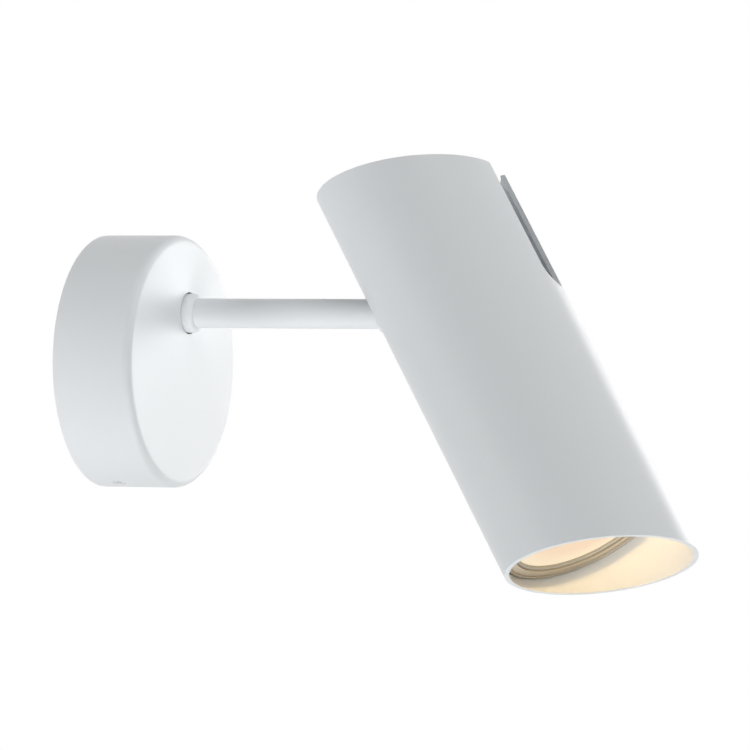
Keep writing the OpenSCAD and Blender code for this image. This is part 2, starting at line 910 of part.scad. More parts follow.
// Two leads from the knuckle's window, through the yoke and into the lampholder's side
module head_leads() {
    down = [0, 0, -1];
    out = [1, 0, 0];
    slant = [-sin(tilt), 0, -cos(tilt)];
    color("DimGray")
    in_head()
        for (s = [-1, 1]) {
            from = [lead_out[0] * cos(tilt) + lead_out[1] * sin(tilt), s * lead_y,
                lead_out[1] * cos(tilt) - lead_out[0] * sin(tilt)] + lead_split * slant;
            hole = [-yoke_hole_x, s * lead_y, -yoke_drop];
            bend = [-yoke_hole_x, s * lead_y, holder_lead_z + lead_turn];
            bent = [lead_turn - yoke_hole_x, s * lead_y, holder_lead_z];
            lead(concat(
                [from],
                curve(from, slant * yoke_drop / 3, hole, down * yoke_drop / 3, 10),
                [bend],
                curve(bend, down * lead_turn / 2, bent, out * lead_turn / 2, 6),
                [[holder_lead_in - holder_r - lead_sink, s * lead_y, holder_lead_z]]));
        }
}

// The lamp's outline, drawn in by a wall: radius and height below the lampholder
function lamp_line(wall) = [
    [0, -wall],
    [neck_r - wall, -wall],
    [neck_r - wall, -neck_l],
    [neck_r + flare_step - wall, -flare_l],
    [lamp_r - brow_step - wall, -lamp_l + brow_l],
    [lamp_r - wall, -lamp_l + rim_l]];

module lamp_body() {
    shell = concat(lamp_line(0), [[lamp_r, -lamp_l], [0, -lamp_l]]);
    hollow = concat([for (i = [0 : 3]) lamp_line(lamp_wall)[i]],
        [[board_r - ledge_w, -lamp_l + board_z + ledge_h],
            [board_r - ledge_w, -lamp_l + board_z],
            [0, -lamp_l + board_z]]);
    color("WhiteSmoke")
    in_head()
        translate([0, 0, holder_z])
            difference() {
                rotate_extrude()
                    polygon(shell);
                rotate_extrude()
                    polygon(hollow);
                z_rod(-lamp_l + lens_seat, -lamp_l + board_z + join, board_r);
                z_rod(-lamp_l - over, -lamp_l + lens_seat + join, lens_r + run_gap);
            }
}

module lamp_pins() {
    color("Silver")
    in_head()
        for (s = [-1, 1])
            translate([0, s * pin_y, holder_z]) {
                z_rod(0, pin_stem_h + join, pin_stem_d / 2);
                z_rod(pin_stem_h, pin_stem_h + pin_head_h, pin_head_d / 2);
            }
}

module led_board() {
    chip_ring_r = lens_r / 2;
    color("Khaki")
    in_head()
        translate([0, 0, rim_z + board_z - board_t]) {
            z_rod(0, board_t, board_r - board_gap);
            for (i = [0 : chip_count - 1])
                rotate([0, 0, 360 * i / chip_count])
                    span([chip_ring_r - chip_w / 2, -chip_w / 2, -chip_h],
                        [chip_ring_r + chip_w / 2, chip_w / 2, join]);
        }
}

module lamp_lens() {
    dome_z = rim_z + lens_edge + sqrt(pow(lens_dome_r, 2) - pow(lens_r, 2));
    color("PeachPuff")
    in_head()
        rotate_extrude()
            intersection() {
                translate([0, rim_z - lens_seat])
                    square([lens_r, 2 * lens_seat]);
                translate([0, dome_z])
                    circle(lens_dome_r, $fn = dome_fn);
            }
}

module bezel_ring() {
    color("Tan")
    in_head()
        rotate_extrude()
            difference() {
                union() {
                    translate([0, bezel_front])
                        square([bezel_r, bezel_flange]);
                    translate([0, bezel_front])
                        square([sleeve_r, sleeve_l]);
                }
                translate([0, bezel_front + lip_t])
                    square([bezel_bore_r, sleeve_l]);
                translate([0, bezel_front - over])
                    square([lamp_r - lip_reach, sleeve_l + 2 * over]);
                translate([sleeve_r + groove_in, bezel_front - over])
                    square([groove_w, over + groove_h]);
            }
}

module bezel_springs() {
    line = [
        [0, 0],
        [0, -clip_l / 5],
        [clip_rise - clip_t, -clip_l / 2],
        [clip_rise - clip_t, -clip_l * 2 / 3],
        [clip_end, -clip_l]];
    outline = concat(line, [for (i = [len(line) - 1 : -1 : 0]) line[i] + [clip_t, 0]]);
    color("Silver")
    in_head()
        for (i = [0 : clip_count - 1])
            rotate([0, 0, 360 * i / clip_count])
                translate([sleeve_r, clip_w / 2, clip_top])
                    rotate([90, 0, 0])
                        linear_extrude(clip_w)
                            polygon(outline);
}

wall_bracket();
bracket_bridge();
bridge_screws();
stop_pin();
terminal_block();
terminal_barrels();
terminal_clamp_screws();
terminal_block_screws();
earth_screw();
canopy();
canopy_set_screws();
supply_leads();
swivel_hub();
hub_stop_washer();
hub_spring_washer();
hub_nut();
arm_tube();
arm_leads();
knuckle();
knuckle_set_screw();
head_tube();
seat_ring();
yoke();
yoke_screws();
pivot_screw();
pivot_nut();
friction_washers();
lampholder();
lampholder_screws();
head_leads();
lamp_body();
lamp_pins();
led_board();
lamp_lens();
bezel_ring();
bezel_springs();
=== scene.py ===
"""A wall spotlight's looks, laid out as an add-on and run as a script.

A round canopy carries a straight swivelling arm, whose end tilts a slotted tubular head with
slanting ends and a recessed lamp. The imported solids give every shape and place. This file gives
them soft edges and finishes, makes the sleeved leads and threaded screws, and sets up a plain
white studio.
"""

import json
import math

import bmesh
import bpy
from mathutils import Matrix, Vector

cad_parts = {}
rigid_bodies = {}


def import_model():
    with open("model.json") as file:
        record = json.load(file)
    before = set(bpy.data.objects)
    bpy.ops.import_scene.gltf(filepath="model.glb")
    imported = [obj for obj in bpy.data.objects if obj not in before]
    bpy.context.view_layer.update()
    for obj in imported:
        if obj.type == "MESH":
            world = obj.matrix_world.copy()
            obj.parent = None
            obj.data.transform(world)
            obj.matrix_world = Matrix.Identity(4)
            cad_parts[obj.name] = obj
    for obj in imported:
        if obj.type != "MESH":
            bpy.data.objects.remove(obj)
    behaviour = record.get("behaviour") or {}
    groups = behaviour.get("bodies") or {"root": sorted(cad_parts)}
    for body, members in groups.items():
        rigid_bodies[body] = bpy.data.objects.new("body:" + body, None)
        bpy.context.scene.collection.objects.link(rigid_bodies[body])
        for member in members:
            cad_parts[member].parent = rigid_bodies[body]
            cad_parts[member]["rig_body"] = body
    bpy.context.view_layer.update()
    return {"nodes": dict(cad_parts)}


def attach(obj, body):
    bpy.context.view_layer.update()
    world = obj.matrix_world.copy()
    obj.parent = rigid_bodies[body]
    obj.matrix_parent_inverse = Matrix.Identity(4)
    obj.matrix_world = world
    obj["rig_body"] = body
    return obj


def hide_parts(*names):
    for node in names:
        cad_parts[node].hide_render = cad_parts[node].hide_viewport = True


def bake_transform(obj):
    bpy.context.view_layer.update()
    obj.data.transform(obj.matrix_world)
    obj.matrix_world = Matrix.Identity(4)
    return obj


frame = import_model()

bl_info = {
    "name": "Wall spotlight",
    "version": (1, 0, 0),
    "blender": (4, 5, 0),
    "location": "3D View > Sidebar > Wall Spotlight",
    "description": "Builds a wall spotlight's finished pieces over its solids, and its studio",
    "category": "Object",
}

MM = 0.001

# Sizes of the solids that the finished pieces follow, in metres and degrees
ARM_Z = 17 * MM
REACH = 132.4 * MM
TILT = 33.0
SHANK_X = 12.95 * MM
YOKE_DROP = 12 * MM
HOLDER_Z = -36 * MM
LAMP_L = 50 * MM
LENS_R = 23.4 * MM
PLATE_T = 2 * MM
BLOCK_Z = -23 * MM
BLOCK_L = 17 * MM
BLOCK_EAR_T = 3 * MM
POLE_W = 8 * MM
BARREL_X = 8 * MM
BLOCK_EAR_Y = 15 * MM
FOOT_SCREW_Y = 19.4 * MM
SEAT_T = 2 * MM
YOKE_T = 2 * MM
YOKE_SCREW_X = 24 * MM
HOLDER_SCREW_X = 9.5 * MM
HOLDER_SCREW_L = 8 * MM
YOKE_SCREW_TIP = 1 * MM

# Socket screws: radius of the shank, radius and height of the head, width of the socket
M3 = (1.5 * MM, 2.75 * MM, 2.2 * MM, 2 * MM)
M4 = (2 * MM, 3.6 * MM, 2.6 * MM, 2.5 * MM)

# The camera: its sensor in millimetres, its focal length in pixels of the picture, and its aim
SENSOR = 36.0
PICTURE_PX = 750
FOCAL_PX = 6613.8
LOOK_AT = Vector((98.48 * MM, 0, -3.96 * MM))

# The studio: half the floor's side, how white the backdrop shows, and where the lights aim
FLOOR_HALF = 8.0
FLOOR_SHADE = (0.8, 0.8, 0.8, 1)
BACKDROP_LIFT = 0.96
LAMP_MIDDLE = Vector((100 * MM, 0, -10 * MM))
CANOPY_MIDDLE = Vector((20 * MM, 0, 0))
ARM_MIDDLE = Vector((62 * MM, 0, ARM_Z))

# The narrow light on the arm: azimuth and elevation in degrees, distance, full angle and radius
ARM_LIGHT_AZIMUTH = 15
ARM_LIGHT_ELEVATION = -10
ARM_LIGHT_DISTANCE = 0.5
ARM_LIGHT_WIDTH = 10
ARM_LIGHT_R = 20 * MM

# The lamp's own light: how far under the lens it starts, and its soft disc and beam
GLOW_GAP = 1.2 * MM
GLOW_R = 0.8 * LENS_R
GLOW_SPREAD = 172
BEAM_R = 0.8 * MM
BEAM_EDGE = 0.05

# Frames: the arm's axis runs along its X, and the head's up its Z from the pivot
ON_ARM = Matrix.Translation((0, 0, ARM_Z))
AT_PIVOT = ON_ARM @ Matrix.Translation((REACH, 0, 0))
IN_HEAD = AT_PIVOT @ Matrix.Rotation(math.radians(-TILT), 4, "Y")
ON_WALL = Matrix.Identity(4)
FROM_WALL = Matrix.Rotation(math.radians(90), 4, "Y")


# Values that a user would change


class SpotSizes(bpy.types.PropertyGroup):
    """Sizes of the finishing details."""

    paint_edge: bpy.props.FloatProperty(
        name="Painted edge radius", description="Rounding of the painted sheet's edges",
        default=0.35 * MM, min=0, unit="LENGTH")
    metal_edge: bpy.props.FloatProperty(
        name="Metal edge radius", description="Rounding of the bare metal's edges",
        default=0.12 * MM, min=0, unit="LENGTH")
    moulded_edge: bpy.props.FloatProperty(
        name="Moulded edge radius", description="Rounding of the plastic and ceramic edges",
        default=0.3 * MM, min=0, unit="LENGTH")
    lead_r: bpy.props.FloatProperty(
        name="Lead radius", description="Radius of a lead with its sleeve",
        default=1.0 * MM, min=0, unit="LENGTH")
    lead_y: bpy.props.FloatProperty(
        name="Lead offset", description="Half the distance between the two leads of a pair",
        default=1.3 * MM, min=0, unit="LENGTH")
    thread_pitch: bpy.props.FloatProperty(
        name="Thread pitch", description="Rise of one turn of a screw's thread",
        default=0.6 * MM, min=0.2 * MM, unit="LENGTH")


class SpotColours(bpy.types.PropertyGroup):
    """Colours of the finishes, in linear light."""

    paint: bpy.props.FloatVectorProperty(
        name="Paint", description="Satin powder coat on the canopy, arm and head",
        subtype="COLOR", size=3, default=(0.815, 0.843, 0.861), min=0, max=1)
    zinc: bpy.props.FloatVectorProperty(
        name="Zinc", description="Zinc plate on the pressed sheet",
        subtype="COLOR", size=3, default=(0.42, 0.43, 0.45), min=0, max=1)
    steel: bpy.props.FloatVectorProperty(
        name="Steel", description="Bright plate on screws and nuts",
        subtype="COLOR", size=3, default=(0.66, 0.66, 0.67), min=0, max=1)
    spring: bpy.props.FloatVectorProperty(
        name="Spring steel", description="Rolled strip of springs",
        subtype="COLOR", size=3, default=(0.42, 0.43, 0.45), min=0, max=1)
    brass: bpy.props.FloatVectorProperty(
        name="Brass", description="Terminal barrels and the earth screw",
        subtype="COLOR", size=3, default=(0.78, 0.56, 0.24), min=0, max=1)
    # The bezel's warm tan is partly the ring's own satin metal and partly the lamp's warm light painted
    # into its colour, a painted reflection
    bezel: bpy.props.FloatVectorProperty(
        name="Bezel", description="Satin ring round the lamp",
        subtype="COLOR", size=3, default=(0.62, 0.54, 0.42), min=0, max=1)
    ceramic: bpy.props.FloatVectorProperty(
        name="Ceramic", description="Unglazed lampholder",
        subtype="COLOR", size=3, default=(0.79, 0.75, 0.66), min=0, max=1)
    shell: bpy.props.FloatVectorProperty(
        name="Lamp shell", description="Moulded body of the lamp",
        subtype="COLOR", size=3, default=(0.50, 0.46, 0.37), min=0, max=1)
    block: bpy.props.FloatVectorProperty(
        name="Terminal block", description="Moulded block of the terminals",
        subtype="COLOR", size=3, default=(0.72, 0.70, 0.62), min=0, max=1)
    sleeve: bpy.props.FloatVectorProperty(
        name="Lead sleeve", description="Braided sleeve of the leads",
        subtype="COLOR", size=3, default=(0.05, 0.05, 0.055), min=0, max=1)
    fibre: bpy.props.FloatVectorProperty(
        name="Fibre", description="Friction washers",
        subtype="COLOR", size=3, default=(0.02, 0.02, 0.022), min=0, max=1)
    glow: bpy.props.FloatVectorProperty(
        name="Glow", description="Warm light of the lamp",
        subtype="COLOR", size=3, default=(1.0, 0.68, 0.3), min=0, max=1)
    lens: bpy.props.FloatVectorProperty(
        name="Lens", description="Frosted lens as it shines",
        subtype="COLOR", size=3, default=(0.87, 0.665, 0.475), min=0, max=1)
    lens_rim: bpy.props.FloatVectorProperty(
        name="Lens rim", description="Paler light at the rim of the frosted lens",
        subtype="COLOR", size=3, default=(1.0, 0.91, 0.67), min=0, max=1)


class SpotStudio(bpy.types.PropertyGroup):
    """The plain studio: lamps, floor and camera."""

    floor_z: bpy.props.FloatProperty(
        name="Floor height", description="Height of the floor in the lamp's frame",
        default=-1.3, unit="LENGTH")
    sky: bpy.props.FloatProperty(
        name="Sky strength", description="Even light from all round",
        default=0.0, min=0)
    front_low: bpy.props.FloatProperty(
        name="Front low", description="Power of the soft box in front of the lamp, below it",
        default=6.15, min=0, unit="POWER")
    below: bpy.props.FloatProperty(
        name="Below", description="Power of the soft box below the lamp",
        default=3.2, min=0, unit="POWER")
    above: bpy.props.FloatProperty(
        name="Above", description="Power of the soft box above the lamp",
        default=6.5, min=0, unit="POWER")
    right: bpy.props.FloatProperty(
        name="Right", description="Power of the soft box off the head's end of the arm",
        default=5.8, min=0, unit="POWER")
    far_right: bpy.props.FloatProperty(
        name="Far right", description="Power of the soft box behind the head",
        default=3.8, min=0, unit="POWER")
    behind: bpy.props.FloatProperty(
        name="Behind", description="Power of the soft box behind the lamp",
        default=10.7, min=0, unit="POWER")
    beside_canopy: bpy.props.FloatProperty(
        name="Beside canopy", description="Power of the small soft box beside the canopy",
        default=1.12, min=0, unit="POWER")
    on_arm: bpy.props.FloatProperty(
        name="On the arm", description="Power of the narrow spotlight on the middle of the arm",
        default=1.3, min=0, unit="POWER")
    glow_power: bpy.props.FloatProperty(
        name="Glow power", description="Power of the soft light off the whole lens",
        default=0.0022, min=0, unit="POWER")
    beam_power: bpy.props.FloatProperty(
        name="Beam power", description="Power of the lamp's beam on the inside of the head",
        default=0.0175, min=0, unit="POWER")
    beam_width: bpy.props.FloatProperty(
        name="Beam width", description="Full angle of the beam; beyond it the bezel's side is in shade",
        default=math.radians(170), min=0, max=math.pi, subtype="ANGLE")
    lens_strength: bpy.props.FloatProperty(
        name="Lens strength", description="How brightly the frosted lens shines",
        default=0.55, min=0)
    turn: bpy.props.FloatProperty(
        name="Turn", description="How far the camera and soft boxes are turned about the arm",
        default=math.radians(17), subtype="ANGLE")
    camera_azimuth: bpy.props.FloatProperty(
        name="Camera azimuth", description="Camera's angle round the lamp",
        default=math.radians(23.59), subtype="ANGLE")
    camera_elevation: bpy.props.FloatProperty(
        name="Camera elevation", description="Camera's angle above the horizon",
        default=math.radians(1.12), subtype="ANGLE")
    camera_distance: bpy.props.FloatProperty(
        name="Camera distance", description="Distance from the camera to its target",
        default=2.2, unit="LENGTH")


# Node trees


class Tree:
    """A node tree that is filled by short calls."""

    def __init__(self, nodes_of):
        self.tree = nodes_of

    def add(self, kind, values=None, **settings):
        """A new node with its settings, and its inputs set or linked by name or number."""
        node = self.tree.nodes.new(kind)
        for name, value in settings.items():
            setattr(node, name, value)
        for name, value in (values or {}).items():
            socket = node.inputs[name]
            if isinstance(value, bpy.types.NodeSocket):
                self.tree.links.new(value, socket)
            else:
                socket.default_value = value
        return node

    def link(self, source, target):
        """Links an output to an input."""
        self.tree.links.new(source, target)

    def maths(self, operation, a, b=0.0, clamp=False):
        """The result of a maths node on two values or outputs."""
        return self.add("ShaderNodeMath", {0: a, 1: b}, operation=operation,
                        use_clamp=clamp).outputs[0]


def group_tree(name, kind, inputs, outputs):
    """A node group with named inputs and outputs: (tree, input node, output node)."""
    made = bpy.data.node_groups.new(name, kind)
    for label, socket, value in inputs:
        item = made.interface.new_socket(label, in_out="INPUT", socket_type=socket)
        if value is not None:
            item.default_value = value
    for label, socket in outputs:
        made.interface.new_socket(label, in_out="OUTPUT", socket_type=socket)
    tree = Tree(made)
    return tree, tree.add("NodeGroupInput"), tree.add("NodeGroupOutput")


FLOAT, COLOUR, VECTOR = "NodeSocketFloat", "NodeSocketColor", "NodeSocketVector"


def coat_group():
    """Powder coat: a faint orange peel and a slight drift of shade and gloss."""
    tree, start, end = group_tree(
        "Powder coat", "ShaderNodeTree",
        [("Vector", VECTOR, None), ("Colour", COLOUR, (1, 1, 1, 1)), ("Drift", FLOAT, 0.03),
         ("Gloss", FLOAT, 0.4), ("Peel scale", FLOAT, 900.0)],
        [("Colour", COLOUR), ("Roughness", FLOAT), ("Height", FLOAT)])
    cloud = tree.add("ShaderNodeTexNoise", {"Vector": start.outputs["Vector"], "Scale": 22.0,
                                            "Detail": 3.0})
    peel = tree.add("ShaderNodeTexNoise", {"Vector": start.outputs["Vector"],
                                           "Scale": start.outputs["Peel scale"], "Detail": 2.0})
    centred = tree.maths("SUBTRACT", cloud.outputs["Fac"], 0.5)
    drift = tree.maths("MULTIPLY", centred, start.outputs["Drift"])
    shade = tree.maths("ADD", drift, 1.0)
    tinted = tree.add("ShaderNodeVectorMath", {0: start.outputs["Colour"], 1: shade},
                      operation="MULTIPLY")
    tree.link(tinted.outputs[0], end.inputs["Colour"])
    tree.link(tree.maths("ADD", tree.maths("MULTIPLY", centred, 0.12), start.outputs["Gloss"]),
              end.inputs["Roughness"])
    tree.link(peel.outputs["Fac"], end.inputs["Height"])
    return tree.tree


def turned_group():
    """Turning marks: fine rings about the Z of the given coordinates."""
    tree, start, end = group_tree(
        "Turned rings", "ShaderNodeTree",
        [("Vector", VECTOR, None), ("Rings per metre", FLOAT, 5000.0), ("Wander", FLOAT, 0.3)],
        [("Mask", FLOAT), ("Height", FLOAT)])
    flat = tree.add("ShaderNodeVectorMath", {0: start.outputs["Vector"], 1: (1, 1, 0)},
                    operation="MULTIPLY")
    radius = tree.add("ShaderNodeVectorMath", {0: flat.outputs[0]}, operation="LENGTH")
    height = tree.add("ShaderNodeSeparateXYZ", {0: start.outputs["Vector"]})
    along = tree.maths("ADD", radius.outputs["Value"], height.outputs["Z"])
    scaled = tree.maths("MULTIPLY", along, start.outputs["Rings per metre"])
    rings = tree.add("ShaderNodeTexNoise", {"W": scaled, "Scale": 1.0, "Detail": 2.0},
                     noise_dimensions="1D")
    blur = tree.add("ShaderNodeTexNoise", {"Vector": start.outputs["Vector"], "Scale": 120.0})
    wander = tree.maths("MULTIPLY", tree.maths("SUBTRACT", blur.outputs["Fac"], 0.5),
                        start.outputs["Wander"])
    tree.link(tree.maths("ADD", rings.outputs["Fac"], wander, clamp=True), end.inputs["Mask"])
    tree.link(rings.outputs["Fac"], end.inputs["Height"])
    return tree.tree


def grain_group():
    """Rolled sheet and plate: long streaks along X and small cloudy spangles."""
    tree, start, end = group_tree(
        "Plated sheet", "ShaderNodeTree",
        [("Vector", VECTOR, None), ("Streak scale", FLOAT, 700.0), ("Spangle scale", FLOAT, 160.0)],
        [("Mask", FLOAT), ("Spangle", FLOAT), ("Height", FLOAT)])
    long = tree.add("ShaderNodeVectorMath", {0: start.outputs["Vector"], 1: (0.06, 1.0, 1.0)},
                    operation="MULTIPLY")
    streak = tree.add("ShaderNodeTexNoise", {"Vector": long.outputs[0], "Detail": 3.0,
                                             "Scale": start.outputs["Streak scale"]})
    spangle = tree.add("ShaderNodeTexVoronoi", {"Vector": start.outputs["Vector"],
                                                "Scale": start.outputs["Spangle scale"]})
    tree.link(streak.outputs["Fac"], end.inputs["Mask"])
    cells = tree.add("ShaderNodeSeparateColor", {0: spangle.outputs["Color"]})
    tree.link(cells.outputs["Red"], end.inputs["Spangle"])
    tree.link(streak.outputs["Fac"], end.inputs["Height"])
    return tree.tree


def moulding_group():
    """Moulded or fired surfaces: soft mottling of the colour and a fine matt grain."""
    tree, start, end = group_tree(
        "Moulded grain", "ShaderNodeTree",
        [("Vector", VECTOR, None), ("Colour", COLOUR, (1, 1, 1, 1)), ("Mottle", FLOAT, 0.06),
         ("Grain scale", FLOAT, 2600.0)],
        [("Colour", COLOUR), ("Mask", FLOAT), ("Height", FLOAT)])
    cloud = tree.add("ShaderNodeTexNoise", {"Vector": start.outputs["Vector"], "Scale": 90.0,
                                            "Detail": 4.0})
    grain = tree.add("ShaderNodeTexNoise", {"Vector": start.outputs["Vector"], "Detail": 2.0,
                                            "Scale": start.outputs["Grain scale"]})
    drift = tree.maths("MULTIPLY", tree.maths("SUBTRACT", cloud.outputs["Fac"], 0.5),
                       start.outputs["Mottle"])
    tinted = tree.add("ShaderNodeVectorMath",
                      {0: start.outputs["Colour"], 1: tree.maths("ADD", drift, 1.0)},
                      operation="MULTIPLY")
    tree.link(tinted.outputs[0], end.inputs["Colour"])
    tree.link(cloud.outputs["Fac"], end.inputs["Mask"])
    tree.link(grain.outputs["Fac"], end.inputs["Height"])
    return tree.tree


# Materials


SHARED_EFFECTS = {
    "Powder coat": coat_group,
    "Turned rings": turned_group,
    "Plated sheet": grain_group,
    "Moulded grain": moulding_group,
}


def shared(name):
    """The shared effect of that name, made once."""
    return bpy.data.node_groups.get(name) or SHARED_EFFECTS[name]()


def blank(name, **values):
    """A material with only its Principled shader: (tree, shader, object coordinates, material)."""
    material = bpy.data.materials.new(name)
    material.use_nodes = True
    tree = Tree(material.node_tree)
    shader = material.node_tree.nodes["Principled BSDF"]
    for socket, value in values.items():
        shader.inputs[socket.replace("_", " ")].default_value = value
    where = tree.add("ShaderNodeTexCoord").outputs["Object"]
    return tree, shader, where, material


def in_frame(tree, where, matrix):
    """Object coordinates seen in a frame of the lamp, such as the head's."""
    place, turn, _ = matrix.decompose()
    return tree.add("ShaderNodeMapping", {
        "Vector": where, "Location": place, "Rotation": turn.to_euler("XYZ")},
        vector_type="TEXTURE").outputs[0]


def use(tree, name, inputs):
    """A shared effect placed in a material with its own values: its outputs."""
    return tree.add("ShaderNodeGroup", inputs, node_tree=shared(name)).outputs


def bump(tree, shader, height, distance, strength=1.0):
    """Relief of a given depth on the shader's surface."""
    node = tree.add("ShaderNodeBump", {"Height": height, "Distance": distance,
                                       "Strength": strength})
    tree.link(node.outputs[0], shader.inputs["Normal"])


def spread(tree, mask, low, high):
    """A mask from 0 to 1 turned into a value from low to high."""
    return tree.add("ShaderNodeMapRange", {"Value": mask, "To Min": low,
                                           "To Max": high}).outputs[0]


def opaque(colour):
    """A colour with full alpha."""
    return (*colour, 1.0)


def paint_material(name, colour):
    """Satin powder coat with its faint orange peel."""
    tree, shader, where, made = blank(name)
    coat = use(tree, "Powder coat", {"Vector": where, "Colour": opaque(colour), "Drift": 0.02,
                                     "Gloss": 0.42, "Peel scale": 850.0})
    tree.link(coat["Colour"], shader.inputs["Base Color"])
    tree.link(coat["Roughness"], shader.inputs["Roughness"])
    bump(tree, shader, coat["Height"], 0.012 * MM, 0.5)
    return made


def plated_material(name, colour, rough, streak, spangle, contrast=0.14):
    """Plated or rolled metal with fine streaks and small spangles."""
    tree, shader, where, made = blank(name, Metallic=1.0)
    grain = use(tree, "Plated sheet", {"Vector": where, "Streak scale": streak,
                                       "Spangle scale": spangle})
    dark = opaque([c * (1 - contrast) for c in colour])
    mixed = tree.add("ShaderNodeMix", {"Factor": grain["Spangle"], 6: dark, 7: opaque(colour)},
                     data_type="RGBA")
    tree.link(mixed.outputs[2], shader.inputs["Base Color"])
    tree.link(spread(tree, grain["Mask"], rough - 0.08, rough + 0.1), shader.inputs["Roughness"])
    bump(tree, shader, grain["Height"], 0.008 * MM, 0.6)
    return made


def turned_material(name, colour, rough, matrix, rings, metallic):
    """Turned metal with fine rings about the Z of a frame of the lamp."""
    tree, shader, where, made = blank(name, Metallic=metallic)
    local = in_frame(tree, where, matrix)
    marks = use(tree, "Turned rings", {"Vector": local, "Rings per metre": rings})
    dark = opaque([c * 0.82 for c in colour])
    mixed = tree.add("ShaderNodeMix", {"Factor": marks["Mask"], 6: dark, 7: opaque(colour)},
                     data_type="RGBA")
    tree.link(mixed.outputs[2], shader.inputs["Base Color"])
    tree.link(spread(tree, marks["Mask"], rough - 0.07, rough + 0.09), shader.inputs["Roughness"])
    bump(tree, shader, marks["Height"], 0.01 * MM, 0.6)
    return made


def moulded_material(name, colour, rough, mottle, grain_scale, depth):
    """A moulded, pressed or fired surface with a matt grain."""
    tree, shader, where, made = blank(name)
    grain = use(tree, "Moulded grain", {"Vector": where, "Colour": opaque(colour),
                                        "Mottle": mottle, "Grain scale": grain_scale})
    tree.link(grain["Colour"], shader.inputs["Base Color"])
    tree.link(spread(tree, grain["Mask"], rough - 0.05, rough + 0.06), shader.inputs["Roughness"])
    bump(tree, shader, grain["Height"], depth, 0.7)
    return made


BRAID_PITCH = 0.55 * MM


def sleeve_material(name, colour):
    """Braided sleeve: fine ridges that follow the lead's own length, and a little fuzz."""
    tree, shader, where, made = blank(name, Roughness=0.62)
    along = tree.add("ShaderNodeAttribute", attribute_name="along").outputs["Fac"]
    wave = tree.maths("SINE", tree.maths("MULTIPLY", along, 2 * math.pi / BRAID_PITCH))
    fuzz = tree.add("ShaderNodeTexNoise", {"Vector": where, "Scale": 3000.0, "Detail": 2.0})
    height = tree.maths("ADD", tree.maths("MULTIPLY", wave, 0.5), fuzz.outputs["Fac"])
    # The colour follows the relief: the braid's ridges are painted lighter and its grooves darker, as
    # painted sheen and painted shade, with a little fuzz of random tone
    light = opaque([min(1.0, c * 1.9) for c in colour])
    mixed = tree.add("ShaderNodeMix", {"Factor": tree.maths("MULTIPLY", height, 0.6, clamp=True),
                                       6: opaque(colour), 7: light}, data_type="RGBA")
    tree.link(mixed.outputs[2], shader.inputs["Base Color"])
    bump(tree, shader, height, 0.05 * MM, 0.8)
    return made


LENS_PALE_FROM = 0.6 * LENS_R


def lens_material(name, colour, rim_colour, strength):
    """Frosted lens with a fine prismatic skin, lit warm from behind, paler towards its rim."""
    tree, shader, where, made = blank(name, Roughness=0.45, Emission_Strength=strength)
    local = in_frame(tree, where, IN_HEAD)
    flat = tree.add("ShaderNodeVectorMath", {0: local, 1: (1, 1, 0)}, operation="MULTIPLY")
    radius = tree.add("ShaderNodeVectorMath", {0: flat.outputs[0]}, operation="LENGTH")
    rim = tree.add("ShaderNodeMapRange", {"Value": radius.outputs["Value"],
                                          "From Min": LENS_PALE_FROM, "From Max": LENS_R})
    marks = use(tree, "Turned rings", {"Vector": local, "Rings per metre": 260.0,
                                       "Wander": 0.2})
    warmth = tree.maths("ADD", rim.outputs[0], tree.maths("MULTIPLY", marks["Mask"], 0.15),
                        clamp=True)
    mixed = tree.add("ShaderNodeMix", {"Factor": warmth, 6: opaque(colour),
                                       7: opaque(rim_colour)}, data_type="RGBA")
    tree.link(mixed.outputs[2], shader.inputs["Emission Color"])
    shader.inputs["Base Color"].default_value = opaque([0.5 * c for c in colour])
    cells = tree.add("ShaderNodeTexVoronoi", {"Vector": local, "Scale": 1300.0})
    bump(tree, shader, cells.outputs["Distance"], 0.06 * MM, 0.5)
    return made


# Building pieces


def values():
    """The user's sizes, colours and studio values."""
    scene = bpy.context.scene
    return scene.spot_sizes, scene.spot_colours, scene.spot_studio


NICKEL = (0.68, 0.66, 0.62)
SOLDER_MASK = (0.78, 0.77, 0.70)


def finishes():
    """Each finish by its slot in the record: its name, its maker and the maker's values."""
    _, colours, studio = values()
    return {
        "white_paint": ("white_powder_coat", paint_material, colours.paint),
        "zinc_steel": ("zinc_plate", plated_material, colours.zinc, 0.48, 700.0, 260.0, 0.06),
        "screw_steel": ("bright_plate", plated_material, colours.steel, 0.27, 1500.0, 500.0),
        "spring_steel": ("spring_strip", plated_material, colours.spring, 0.3, 1800.0, 300.0),
        "brass": ("turned_brass", plated_material, colours.brass, 0.3, 1600.0, 420.0),
        "pin_metal": ("nickel_pin", plated_material, NICKEL, 0.22, 1500.0, 600.0),
        "bezel_metal": ("satin_bezel", turned_material, colours.bezel, 0.36, IN_HEAD, 3800.0,
                        0.85),
        "block_plastic": ("moulded_block", moulded_material, colours.block, 0.4, 0.05, 2200.0,
                          0.01 * MM),
        "washer_fibre": ("pressed_fibre", moulded_material, colours.fibre, 0.8, 0.3, 1800.0,
                         0.04 * MM),
        "holder_ceramic": ("fired_ceramic", moulded_material, colours.ceramic, 0.6, 0.08, 1500.0,
                           0.03 * MM),
        "lamp_shell": ("moulded_shell", moulded_material, colours.shell, 0.38, 0.04, 2500.0,
                       0.01 * MM),
        "board": ("solder_mask", moulded_material, SOLDER_MASK, 0.35, 0.03, 2500.0, 0.008 * MM),
        "lead_sleeve": ("braided_sleeve", sleeve_material, colours.sleeve),
        "frosted_lens": ("lit_lens", lens_material, colours.lens, colours.lens_rim,
                         studio.lens_strength),
    }


def finish_of(slot):
    """The finish of a slot, made once."""
    name, make, *details = finishes()[slot]
    return bpy.data.materials.get(name) or make(name, *details)


